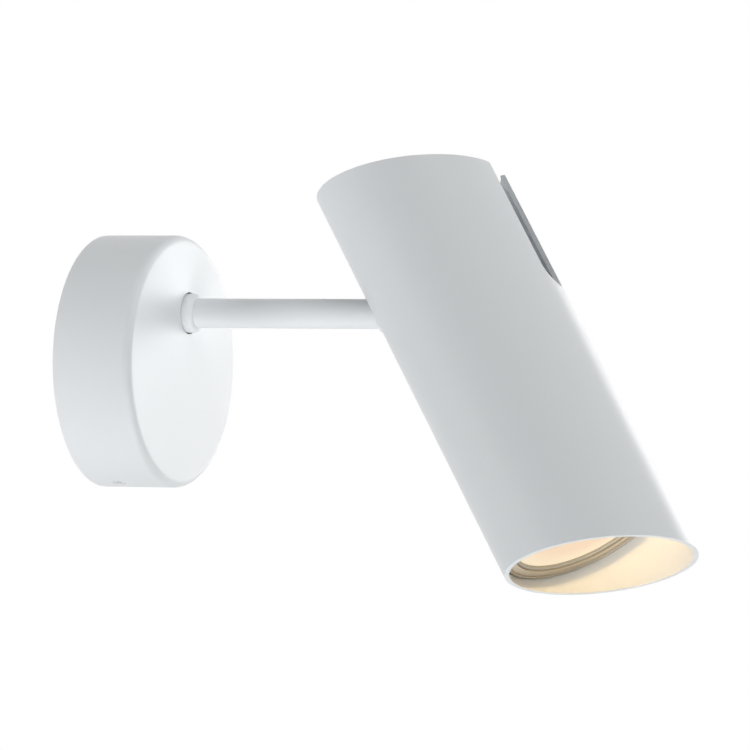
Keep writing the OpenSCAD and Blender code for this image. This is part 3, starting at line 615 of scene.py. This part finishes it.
def settle(obj, node):
    """Hands a finished piece to its node's body and hides the node."""
    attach(obj, frame["nodes"][node]["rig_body"])
    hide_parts(node)


def new_object(name, data):
    """An object of that data in the scene."""
    obj = bpy.data.objects.new(name, data)
    bpy.context.scene.collection.objects.link(obj)
    return obj


# Angles in degrees: below one faces are flat together, past the other an edge is rounded
FLAT_BELOW = 0.4
ROUNDED_PAST = 32
MERGE_WITHIN = 0.001 * MM


def smooth(mesh, angle=30.0):
    """Smooth shading with sharp edges past an angle."""
    mesh.polygons.foreach_set("use_smooth", [True] * len(mesh.polygons))
    mesh.set_sharp_from_angle(angle=math.radians(angle))


def solid_copy(node, name):
    """A merged copy of a CAD node's mesh, with its flat faces whole."""
    mesh = bpy.data.meshes.new(name)
    build = bmesh.new()
    build.from_mesh(frame["nodes"][node].data)
    bmesh.ops.remove_doubles(build, verts=build.verts, dist=MERGE_WITHIN)
    bmesh.ops.dissolve_limit(build, angle_limit=math.radians(FLAT_BELOW), verts=build.verts,
                             edges=build.edges)
    build.to_mesh(mesh)
    build.free()
    if "custom_normal" in mesh.attributes:
        mesh.attributes.remove(mesh.attributes["custom_normal"])
    mesh.materials.clear()
    return mesh


def soften(obj, radius, segments=2):
    """Rounds the sharp edges of a piece and evens its shading."""
    bevel = obj.modifiers.new("soft_edges", "BEVEL")
    bevel.width = radius
    bevel.segments = segments
    bevel.limit_method = "ANGLE"
    bevel.angle_limit = math.radians(ROUNDED_PAST)
    bevel.harden_normals = True


def finished_solid(node, slot, radius, segments=2):
    """A CAD node's shape with soft edges and its finish."""
    name = node + "_finished"
    mesh = solid_copy(node, name)
    smooth(mesh)
    obj = new_object(name, mesh)
    mesh.materials.append(finish_of(slot))
    if radius > 0:
        soften(obj, radius, segments)
    settle(obj, node)


def grown(name, base, tree, inputs, matrix):
    """The mesh that a Geometry Nodes tree grows from a base mesh, placed by a matrix."""
    seed = new_object(name + "_seed", base)
    modifier = seed.modifiers.new("grow", "NODES")
    modifier.node_group = tree
    sockets = {item.name: item.identifier for item in tree.interface.items_tree
               if item.item_type == "SOCKET" and item.in_out == "INPUT"}
    for label, value in inputs.items():
        modifier[sockets[label]] = value
    bpy.context.view_layer.update()
    graph = bpy.context.evaluated_depsgraph_get()
    mesh = bpy.data.meshes.new_from_object(seed.evaluated_get(graph))
    bpy.data.objects.remove(seed)
    if len(mesh.vertices) == 0:
        raise RuntimeError(f"{name}: its tree grew nothing")
    mesh.transform(matrix)
    mesh.name = name
    return mesh


def geometry_group(name, inputs):
    """A Geometry Nodes group with its own inputs between the geometry and the material."""
    return group_tree(
        name, "GeometryNodeTree",
        [("Geometry", "NodeSocketGeometry", None), *inputs, ("Material", "NodeSocketMaterial", None)],
        [("Geometry", "NodeSocketGeometry")])


def close_group(tree, start, end, geometry):
    """Ends a tree in real geometry with its material."""
    real = tree.add("GeometryNodeRealizeInstances", {0: geometry})
    painted = tree.add("GeometryNodeSetMaterial", {
        "Geometry": real.outputs[0], "Material": start.outputs["Material"]})
    tree.link(painted.outputs[0], end.inputs["Geometry"])
    return tree.tree


# Faces round a lead, a screw's head, its core, one turn of its thread and the thread's ridge
LEAD_SIDES = 20
HEAD_SIDES = 40
CORE_SIDES = 32
TURN_SIDES = 20
RIDGE_SIDES = 4


def lead_tree():
    """A round sleeve swept along the base's lines; its length is kept for the finish."""
    tree, start, end = geometry_group("Lead sleeve", [("Radius", FLOAT, 1.0 * MM)])
    line = tree.add("GeometryNodeMeshToCurve", {0: start.outputs["Geometry"]})
    length = tree.add("GeometryNodeSplineParameter")
    marked = tree.add("GeometryNodeStoreNamedAttribute", {
        "Geometry": line.outputs[0], "Name": "along", "Value": length.outputs["Length"]},
        data_type="FLOAT", domain="POINT")
    ring = tree.add("GeometryNodeCurvePrimitiveCircle", {
        "Resolution": LEAD_SIDES, "Radius": start.outputs["Radius"]})
    tube = tree.add("GeometryNodeCurveToMesh", {
        "Curve": marked.outputs[0], "Profile Curve": ring.outputs[0], "Fill Caps": True})
    return close_group(tree, start, end, tube.outputs[0])


# Shares of a screw: chamfer and socket's middle of the head's height, core and ridge of the
# shank's radius, threaded stretch and its lower end of the shank's length
CHAMFER = 0.16
SOCKET_MIDDLE = 0.95
CORE = 0.86
RIDGE = 0.14
THREADED = 0.9
THREAD_END = 0.96


def lifted(tree, geometry, height):
    """Geometry moved up its Z."""
    up = tree.add("ShaderNodeCombineXYZ", {"Z": height}).outputs[0]
    return tree.add("GeometryNodeTransform", {"Geometry": geometry, "Translation": up}).outputs[0]


def screw_tree():
    """Socket screws on the base's points: head above the point, threaded shank below it."""
    tree, start, end = geometry_group("Socket screws", [
        ("Shank radius", FLOAT, 1.5 * MM), ("Length", FLOAT, 5 * MM),
        ("Head radius", FLOAT, 2.75 * MM), ("Head height", FLOAT, 2.2 * MM),
        ("Socket width", FLOAT, 2 * MM), ("Pitch", FLOAT, 0.6 * MM)])
    given = start.outputs
    rim = tree.maths("MULTIPLY", given["Head height"], CHAMFER)
    low_rim = tree.maths("SUBTRACT", given["Head height"], rim)
    barrel = tree.add("GeometryNodeMeshCylinder", {
        "Vertices": HEAD_SIDES, "Radius": given["Head radius"], "Depth": low_rim},
        fill_type="NGON").outputs[0]
    crown = tree.add("GeometryNodeMeshCone", {
        "Vertices": HEAD_SIDES, "Radius Top": tree.maths("SUBTRACT", given["Head radius"], rim),
        "Radius Bottom": given["Head radius"], "Depth": rim}, fill_type="NGON").outputs[0]
    head = tree.add("GeometryNodeMeshBoolean", {
        "Mesh 2": lifted(tree, barrel, tree.maths("MULTIPLY", low_rim, 0.5))},
        operation="UNION", solver="EXACT")
    tree.link(lifted(tree, crown, low_rim), head.inputs["Mesh 2"])
    corner_share = 2 * math.cos(math.radians(30))
    hexagon = tree.add("GeometryNodeMeshCylinder", {
        "Vertices": 6, "Radius": tree.maths("DIVIDE", given["Socket width"], corner_share),
        "Depth": given["Head height"]}, fill_type="NGON").outputs[0]
    socket = lifted(tree, hexagon, tree.maths("MULTIPLY", given["Head height"], SOCKET_MIDDLE))
    cut = tree.add("GeometryNodeMeshBoolean", {"Mesh 1": head.outputs[0], "Mesh 2": socket},
                   operation="DIFFERENCE", solver="EXACT").outputs[0]
    core_r = tree.maths("MULTIPLY", given["Shank radius"], CORE)
    core = tree.add("GeometryNodeMeshCylinder", {
        "Vertices": CORE_SIDES, "Radius": core_r, "Depth": given["Length"]},
        fill_type="NGON").outputs[0]
    shank = lifted(tree, core, tree.maths("MULTIPLY", given["Length"], -0.5))
    threaded = tree.maths("MULTIPLY", given["Length"], THREADED)
    helix = tree.add("GeometryNodeCurveSpiral", {
        "Resolution": TURN_SIDES, "Rotations": tree.maths("DIVIDE", threaded, given["Pitch"]),
        "Start Radius": core_r, "End Radius": core_r, "Height": threaded}).outputs[0]
    ridge = tree.add("GeometryNodeCurvePrimitiveCircle", {
        "Resolution": RIDGE_SIDES,
        "Radius": tree.maths("MULTIPLY", given["Shank radius"], RIDGE)}).outputs[0]
    hung = lifted(tree, helix, tree.maths("MULTIPLY", given["Length"], -THREAD_END))
    thread = tree.add("GeometryNodeCurveToMesh", {
        "Curve": hung, "Profile Curve": ridge, "Fill Caps": True}).outputs[0]
    whole = tree.add("GeometryNodeJoinGeometry")
    for part in (cut, shank, thread):
        tree.link(part, whole.inputs[0])
    points = tree.add("GeometryNodeMeshToPoints", {0: given["Geometry"]})
    copies = tree.add("GeometryNodeInstanceOnPoints", {
        "Points": points.outputs[0], "Instance": whole.outputs[0]})
    return close_group(tree, start, end, copies.outputs[0])


def tree_of(name, make):
    """The Geometry Nodes tree of that name, made once."""
    return bpy.data.node_groups.get(name) or make()


def point_mesh(name, points):
    """Points as a mesh without edges."""
    mesh = bpy.data.meshes.new(name)
    mesh.from_pydata([tuple(p) for p in points], [], [])
    return mesh


def line_mesh(name, lines):
    """Open lines of points as one mesh of edges."""
    corners, edges = [], []
    for line in lines:
        first = len(corners)
        corners += [tuple(p) for p in line]
        edges += [(first + i, first + i + 1) for i in range(len(line) - 1)]
    mesh = bpy.data.meshes.new(name)
    mesh.from_pydata(corners, edges, [])
    return mesh


def screws(node, slot, points, matrix, length, size):
    """Threaded socket screws in place of a CAD node, on points of the matrix's frame."""
    sizes, _, _ = values()
    shank, head, head_h, socket = size
    name = node + "_threaded"
    mesh = grown(name, point_mesh(name, points), tree_of("Socket screws", screw_tree), {
        "Shank radius": shank, "Length": length, "Head radius": head, "Head height": head_h,
        "Socket width": socket, "Pitch": sizes.thread_pitch, "Material": finish_of(slot)}, matrix)
    smooth(mesh)
    settle(new_object(name, mesh), node)


def curve_points(start, leave, end, arrive, count):
    """Points of a smooth curve from start, left out, to end, by how it leaves and arrives."""
    made = []
    for i in range(1, count + 1):
        done = i / count
        rest = 1 - done
        made.append(rest ** 3 * start + 3 * rest * rest * done * (start + leave)
                    + 3 * rest * done * done * (end - arrive) + done ** 3 * end)
    return made


UP, DOWN, OUT = Vector((0, 0, 1)), Vector((0, 0, -1)), Vector((1, 0, 0))

# Where the leads run: their bends, the knuckle's window, the yoke's hole and the holder
LEAD_TURN = 2.5 * MM
LEAD_DROP = 1.9 * MM
LEAD_BACK = 2 * MM
WINDOW_X = -11.5 * MM
WINDOW_Z = -7.6 * MM
YOKE_HOLE_X = 17.5 * MM
HOLDER_LEAD_Z = -25 * MM
HOLDER_LEAD_END = -10 * MM

# Steps along the bends of the leads
RISE_STEPS = 28
KNEE_STEPS = 10
WINDOW_STEPS = 12
YOKE_STEPS = 20


def supply_route(side, lead_y):
    """From a pole of the terminal block up and into the arm's inner end."""
    pole_y, end_y = side * POLE_W, side * lead_y
    end_z = ARM_Z - LEAD_DROP
    top = BLOCK_Z + BLOCK_L / 2
    rise = end_z - LEAD_TURN - top
    foot = Vector((BARREL_X, pole_y, top))
    knee = Vector((BARREL_X - LEAD_BACK, end_y, end_z - LEAD_TURN))
    bent = Vector((BARREL_X - LEAD_BACK + LEAD_TURN, end_y, end_z))
    return [Vector((BARREL_X, pole_y, BLOCK_Z)), foot,
            *curve_points(foot, UP * rise / 2, knee, UP * rise / 2, RISE_STEPS),
            *curve_points(knee, UP * LEAD_TURN / 2, bent, OUT * LEAD_TURN / 2, KNEE_STEPS),
            Vector((SHANK_X, end_y, end_z))]


def arm_route(side, lead_y):
    """Along the arm and down out of the knuckle's window, in the arm's frame."""
    end = Vector((REACH + WINDOW_X, side * lead_y, WINDOW_Z))
    bend = Vector((end.x - LEAD_TURN, side * lead_y, -LEAD_DROP))
    bent = Vector((end.x, side * lead_y, -LEAD_DROP - LEAD_TURN))
    return [Vector((SHANK_X, side * lead_y, -LEAD_DROP)), bend,
            *curve_points(bend, OUT * LEAD_TURN / 2, bent, DOWN * LEAD_TURN / 2, WINDOW_STEPS),
            end]


def head_route(side, lead_y):
    """From the knuckle's window through the yoke and into the holder, in the head's frame."""
    lean = math.radians(TILT)
    slant = Vector((-math.sin(lean), 0, -math.cos(lean)))
    start = Vector((WINDOW_X * math.cos(lean) + WINDOW_Z * math.sin(lean), side * lead_y,
                    WINDOW_Z * math.cos(lean) - WINDOW_X * math.sin(lean)))
    hole = Vector((-YOKE_HOLE_X, side * lead_y, -YOKE_DROP))
    bend = Vector((-YOKE_HOLE_X, side * lead_y, HOLDER_LEAD_Z + LEAD_TURN))
    bent = Vector((LEAD_TURN - YOKE_HOLE_X, side * lead_y, HOLDER_LEAD_Z))
    middle = [hole.lerp(bend, t / 4) for t in range(1, 5)]
    return [start,
            *curve_points(start, slant * YOKE_DROP / 3, hole, DOWN * YOKE_DROP / 3, YOKE_STEPS),
            *middle,
            *curve_points(bend, DOWN * LEAD_TURN / 2, bent, OUT * LEAD_TURN / 2, KNEE_STEPS),
            Vector((HOLDER_LEAD_END, side * lead_y, HOLDER_LEAD_Z))]


def leads(node, routes, matrix):
    """Sleeved leads along their routes, in place of a CAD node."""
    sizes, _, _ = values()
    name = node + "_sleeved"
    mesh = grown(name, line_mesh(name, routes), tree_of("Lead sleeve", lead_tree), {
        "Radius": sizes.lead_r, "Material": finish_of("lead_sleeve")}, matrix)
    smooth(mesh, 60)
    return new_object(name, mesh)


# Operators


class SPOT_OT_canopy(bpy.types.Operator):
    """Paint the canopy and soften its rim"""

    bl_idname = "spot.canopy"
    bl_label = "Canopy"

    def execute(self, context):
        sizes, _, _ = values()
        finished_solid("canopy", "white_paint", sizes.paint_edge, 3)
        finished_solid("canopy_set_screws", "white_paint", sizes.metal_edge)
        return {"FINISHED"}


class SPOT_OT_bracket(bpy.types.Operator):
    """Finish the pressed wall bracket, its bridge, their screws and the stop pin"""

    bl_idname = "spot.bracket"
    bl_label = "Wall bracket"

    def execute(self, context):
        sizes, _, _ = values()
        finished_solid("wall_bracket", "zinc_steel", 2 * sizes.metal_edge)
        finished_solid("bracket_bridge", "zinc_steel", 2 * sizes.metal_edge)
        finished_solid("stop_pin", "screw_steel", sizes.metal_edge)
        foot_face = 2 * PLATE_T
        matrix = Matrix.Translation((foot_face, 0, ARM_Z)) @ FROM_WALL
        screws("bridge_screws", "screw_steel", [(0, -FOOT_SCREW_Y, 0), (0, FOOT_SCREW_Y, 0)],
               matrix, foot_face, M4)
        return {"FINISHED"}


class SPOT_OT_terminals(bpy.types.Operator):
    """Finish the terminal block with its brass barrels, clamps and earth screw"""

    bl_idname = "spot.terminals"
    bl_label = "Terminal block"

    def execute(self, context):
        sizes, _, _ = values()
        finished_solid("terminal_block", "block_plastic", sizes.moulded_edge)
        finished_solid("terminal_barrels", "brass", sizes.metal_edge)
        finished_solid("terminal_clamp_screws", "screw_steel", sizes.metal_edge)
        finished_solid("earth_screw", "brass", sizes.metal_edge)
        ear_face = PLATE_T + BLOCK_EAR_T
        matrix = Matrix.Translation((ear_face, 0, BLOCK_Z)) @ FROM_WALL
        screws("terminal_block_screws", "screw_steel",
               [(0, -BLOCK_EAR_Y, 0), (0, BLOCK_EAR_Y, 0)], matrix, ear_face, M3)
        return {"FINISHED"}


class SPOT_OT_arm(bpy.types.Operator):
    """Paint the hub, the arm tube and the knuckle, and finish what holds the hub"""

    bl_idname = "spot.arm"
    bl_label = "Hub, arm and knuckle"

    def execute(self, context):
        sizes, _, _ = values()
        for node in ("swivel_hub", "arm_tube", "knuckle"):
            finished_solid(node, "white_paint", 0.6 * sizes.paint_edge, 3)
        for node in ("hub_stop_washer", "hub_nut", "knuckle_set_screw"):
            finished_solid(node, "screw_steel", sizes.metal_edge)
        finished_solid("hub_spring_washer", "spring_steel", sizes.metal_edge)
        return {"FINISHED"}


class SPOT_OT_head(bpy.types.Operator):
    """Paint the slotted head tube and soften its edges"""

    bl_idname = "spot.head"
    bl_label = "Head tube"

    def execute(self, context):
        sizes, _, _ = values()
        finished_solid("head_tube", "white_paint", sizes.paint_edge, 3)
        return {"FINISHED"}


class SPOT_OT_yoke(bpy.types.Operator):
    """Finish the yoke, its seat ring, the pivot and its friction washers"""

    bl_idname = "spot.yoke"
    bl_label = "Yoke and pivot"

    def execute(self, context):
        sizes, _, _ = values()
        for node in ("seat_ring", "yoke"):
            finished_solid(node, "zinc_steel", sizes.metal_edge)
        for node in ("pivot_screw", "pivot_nut"):
            finished_solid(node, "screw_steel", sizes.metal_edge)
        finished_solid("friction_washers", "washer_fibre", sizes.metal_edge)
        matrix = IN_HEAD @ Matrix.Translation((0, 0, -YOKE_DROP))
        screws("yoke_screws", "screw_steel", [(-YOKE_SCREW_X, 0, 0), (YOKE_SCREW_X, 0, 0)],
               matrix, YOKE_T + SEAT_T + YOKE_SCREW_TIP, M3)
        screws("lampholder_screws", "screw_steel",
               [(-HOLDER_SCREW_X, 0, 0), (HOLDER_SCREW_X, 0, 0)], matrix,
               YOKE_T + HOLDER_SCREW_L, M3)
        return {"FINISHED"}


class SPOT_OT_leads(bpy.types.Operator):
    """Sleeve the leads along their routes; those along the arm ride with it"""

    bl_idname = "spot.leads"
    bl_label = "Leads"

    def execute(self, context):
        sizes, _, _ = values()
        pair = (-1, 1)
        supply = leads("supply_leads", [supply_route(s, sizes.lead_y) for s in pair], ON_WALL)
        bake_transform(supply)
        along = leads("arm_leads", [arm_route(s, sizes.lead_y) for s in pair], ON_ARM)
        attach(along, "arm")
        bending = leads("head_leads", [head_route(s, sizes.lead_y) for s in pair], IN_HEAD)
        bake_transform(bending)
        for obj, node in ((supply, "supply_leads"), (along, "arm_leads"), (bending, "head_leads")):
            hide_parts(node)
        return {"FINISHED"}


class SPOT_OT_lamp(bpy.types.Operator):
    """Finish the lampholder and the lamp: body, pins, board and frosted lens"""

    bl_idname = "spot.lamp"
    bl_label = "Lampholder and lamp"

    def execute(self, context):
        sizes, _, _ = values()
        finished_solid("lampholder", "holder_ceramic", sizes.moulded_edge, 3)
        finished_solid("lamp_body", "lamp_shell", sizes.moulded_edge, 3)
        finished_solid("lamp_pins", "pin_metal", sizes.metal_edge)
        finished_solid("led_board", "board", sizes.metal_edge)
        finished_solid("lamp_lens", "frosted_lens", 0)
        return {"FINISHED"}


class SPOT_OT_bezel(bpy.types.Operator):
    """Finish the turned bezel ring and its leaf springs"""

    bl_idname = "spot.bezel"
    bl_label = "Bezel"

    def execute(self, context):
        sizes, _, _ = values()
        finished_solid("bezel_ring", "bezel_metal", sizes.metal_edge)
        finished_solid("bezel_springs", "spring_steel", 0.5 * sizes.metal_edge)
        return {"FINISHED"}


def direction(azimuth, elevation):
    """The way to a place at an azimuth, from 0 at -Y to 90 degrees at +X, and an elevation."""
    return Vector((math.cos(elevation) * math.sin(azimuth),
                   -math.cos(elevation) * math.cos(azimuth), math.sin(elevation)))


def facing(name, data, place, target):
    """A light at a place that faces a target; the camera doesn't see its shape."""
    lamp = new_object(name, data)
    lamp.location = place
    lamp.rotation_euler = (target - place).to_track_quat("-Z", "Y").to_euler()
    lamp.visible_camera = False
    return lamp


def soft_box(name, place, target, side, power):
    """A square soft box that faces a target."""
    data = bpy.data.lights.new(name, "AREA")
    data.size = side
    data.energy = power
    return facing(name, data, place, target)


def seen_white(tree):
    """1 for the rays that show the background: camera, glossy and transmission rays."""
    path = tree.add("ShaderNodeLightPath").outputs
    gloss = tree.maths("MAXIMUM", path["Is Glossy Ray"], path["Is Transmission Ray"])
    return tree.maths("MAXIMUM", path["Is Camera Ray"], gloss)


class SPOT_OT_studio(bpy.types.Operator):
    """Set up the white floor, the soft boxes, the lamp's own glow and the camera"""

    bl_idname = "spot.studio"
    bl_label = "Studio"

    def execute(self, context):
        _, colours, studio = values()
        self.sky(studio)
        self.floor(studio)
        self.soft_boxes(studio)
        self.arm_light(studio)
        self.glow(colours, studio)
        self.camera(studio)
        context.scene.view_settings.view_transform = "Standard"
        return {"FINISHED"}

    def sky(self, studio):
        """A world that shows white and lights the lamp only by the sky's strength."""
        world = bpy.data.worlds.new("studio")
        world.use_nodes = True
        tree = Tree(world.node_tree)
        back = world.node_tree.nodes["Background"]
        back.inputs["Color"].default_value = (1, 1, 1, 1)
        strength = spread(tree, seen_white(tree), studio.sky, 1.0)
        tree.link(strength, back.inputs["Strength"])
        bpy.context.scene.world = world

    def floor(self, studio):
        """A floor that shows white and keeps its shadows; from below it's clear."""
        corners = [(x * FLOOR_HALF, y * FLOOR_HALF, studio.floor_z)
                   for x, y in ((-1, -1), (1, -1), (1, 1), (-1, 1))]
        mesh = bpy.data.meshes.new("floor")
        mesh.from_pydata(corners, [], [(0, 1, 2, 3)])
        floor = new_object("floor", mesh)
        tree, shader, where, made = blank("studio_floor", Roughness=0.9)
        grain = use(tree, "Moulded grain", {"Vector": where, "Colour": FLOOR_SHADE,
                                            "Mottle": 0.01, "Grain scale": 300.0})
        tree.link(grain["Colour"], shader.inputs["Base Color"])
        shader.inputs["Emission Color"].default_value = (1, 1, 1, 1)
        lift = spread(tree, seen_white(tree), 0.0, BACKDROP_LIFT)
        tree.link(lift, shader.inputs["Emission Strength"])
        clear = tree.add("ShaderNodeBsdfTransparent")
        below = tree.add("ShaderNodeNewGeometry").outputs["Backfacing"]
        mixed = tree.add("ShaderNodeMixShader", {0: below, 1: shader.outputs[0],
                                                 2: clear.outputs[0]})
        tree.link(mixed.outputs[0], made.node_tree.nodes["Material Output"].inputs["Surface"])
        mesh.materials.append(made)

    def soft_boxes(self, studio):
        """Soft boxes by azimuth, elevation, distance, side and power, about the camera's frame."""
        turn = Matrix.Rotation(studio.turn, 4, "X")
        boxes = (
            ("front_low", LAMP_MIDDLE, 30, -40, 1.2, 0.8, studio.front_low),
            ("below", LAMP_MIDDLE, 20, -70, 1.1, 0.7, studio.below),
            ("above", LAMP_MIDDLE, 20, 75, 1.5, 1.0, studio.above),
            ("right", LAMP_MIDDLE, 75, 40, 1.5, 1.0, studio.right),
            ("far_right", LAMP_MIDDLE, 120, 40, 1.5, 1.0, studio.far_right),
            ("behind", LAMP_MIDDLE, 160, 0, 1.5, 1.0, studio.behind),
            ("beside_canopy", CANOPY_MIDDLE, -50, 0, 0.45, 0.32, studio.beside_canopy),
        )
        for name, target, azimuth, elevation, distance, side, power in boxes:
            place = target + direction(math.radians(azimuth), math.radians(elevation)) * distance
            lamp = soft_box(name, turn @ place, turn @ target, side, power)
            # The bracket's plate would mirror this box as a white patch, seen from behind
            lamp.visible_glossy = name != "beside_canopy"

    def arm_light(self, studio):
        """A narrow soft spotlight on the middle of the arm."""
        turn = Matrix.Rotation(studio.turn, 4, "X")
        way = direction(math.radians(ARM_LIGHT_AZIMUTH), math.radians(ARM_LIGHT_ELEVATION))
        data = bpy.data.lights.new("on_arm", "SPOT")
        data.energy = studio.on_arm
        data.spot_size = math.radians(ARM_LIGHT_WIDTH)
        data.spot_blend = 1.0
        data.shadow_soft_size = ARM_LIGHT_R
        facing("on_arm", data, turn @ (ARM_MIDDLE + way * ARM_LIGHT_DISTANCE), turn @ ARM_MIDDLE)

    def glow(self, colours, studio):
        """The lamp's own light: a soft disc just under the lens and a beam from its middle."""
        disc = bpy.data.lights.new("lamp_glow", "AREA")
        disc.shape = "DISK"
        disc.size = 2 * GLOW_R
        disc.energy = studio.glow_power
        disc.spread = math.radians(GLOW_SPREAD)
        beam = bpy.data.lights.new("lamp_beam", "SPOT")
        beam.energy = studio.beam_power
        beam.spot_size = studio.beam_width
        beam.spot_blend = BEAM_EDGE
        beam.shadow_soft_size = BEAM_R
        for data in (disc, beam):
            data.color = colours.glow
            lamp = new_object(data.name, data)
            lamp.matrix_world = IN_HEAD @ Matrix.Translation((0, 0, HOLDER_Z - LAMP_L - GLOW_GAP))
            lamp.visible_camera = False
            lamp.visible_glossy = False
            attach(lamp, "head")

    def camera(self, studio):
        """A camera at the photograph's viewing angle, turned about the arm."""
        turn = Matrix.Rotation(studio.turn, 4, "X")
        back = direction(studio.camera_azimuth, studio.camera_elevation)
        data = bpy.data.cameras.new("camera")
        data.sensor_width = SENSOR
        data.lens = SENSOR * FOCAL_PX / PICTURE_PX
        data.clip_start, data.clip_end = 0.05, 50.0
        camera = new_object("camera", data)
        place = Matrix.Translation(LOOK_AT + back * studio.camera_distance)
        aim = (-back).to_track_quat("-Z", "Y").to_matrix().to_4x4()
        camera.matrix_world = turn @ place @ aim
        bpy.context.scene.camera = camera


OPERATORS = (
    SPOT_OT_canopy, SPOT_OT_bracket, SPOT_OT_terminals, SPOT_OT_arm, SPOT_OT_head, SPOT_OT_yoke,
    SPOT_OT_leads, SPOT_OT_lamp, SPOT_OT_bezel, SPOT_OT_studio,
)


class SPOT_PT_panel(bpy.types.Panel):
    """Lists the spotlight's pieces and the values that shape them."""

    bl_idname = "SPOT_PT_panel"
    bl_label = "Wall Spotlight"
    bl_space_type = "VIEW_3D"
    bl_region_type = "UI"
    bl_category = "Wall Spotlight"

    def draw(self, context):
        column = self.layout.column()
        for operator in OPERATORS:
            column.operator(operator.bl_idname, text=operator.bl_label)
        for group in values():
            box = self.layout.box()
            for name in group.bl_rna.properties.keys():
                if name not in ("rna_type", "name"):
                    box.prop(group, name)


CLASSES = (SpotSizes, SpotColours, SpotStudio, *OPERATORS, SPOT_PT_panel)


def register():
    for made in CLASSES:
        bpy.utils.register_class(made)
    bpy.types.Scene.spot_sizes = bpy.props.PointerProperty(type=SpotSizes)
    bpy.types.Scene.spot_colours = bpy.props.PointerProperty(type=SpotColours)
    bpy.types.Scene.spot_studio = bpy.props.PointerProperty(type=SpotStudio)


def unregister():
    del bpy.types.Scene.spot_studio
    del bpy.types.Scene.spot_colours
    del bpy.types.Scene.spot_sizes
    for made in reversed(CLASSES):
        bpy.utils.unregister_class(made)


def main():
    register()
    for operator in OPERATORS:
        family, name = operator.bl_idname.split(".")
        getattr(getattr(bpy.ops, family), name)()


if __name__ == "__main__":
    main()
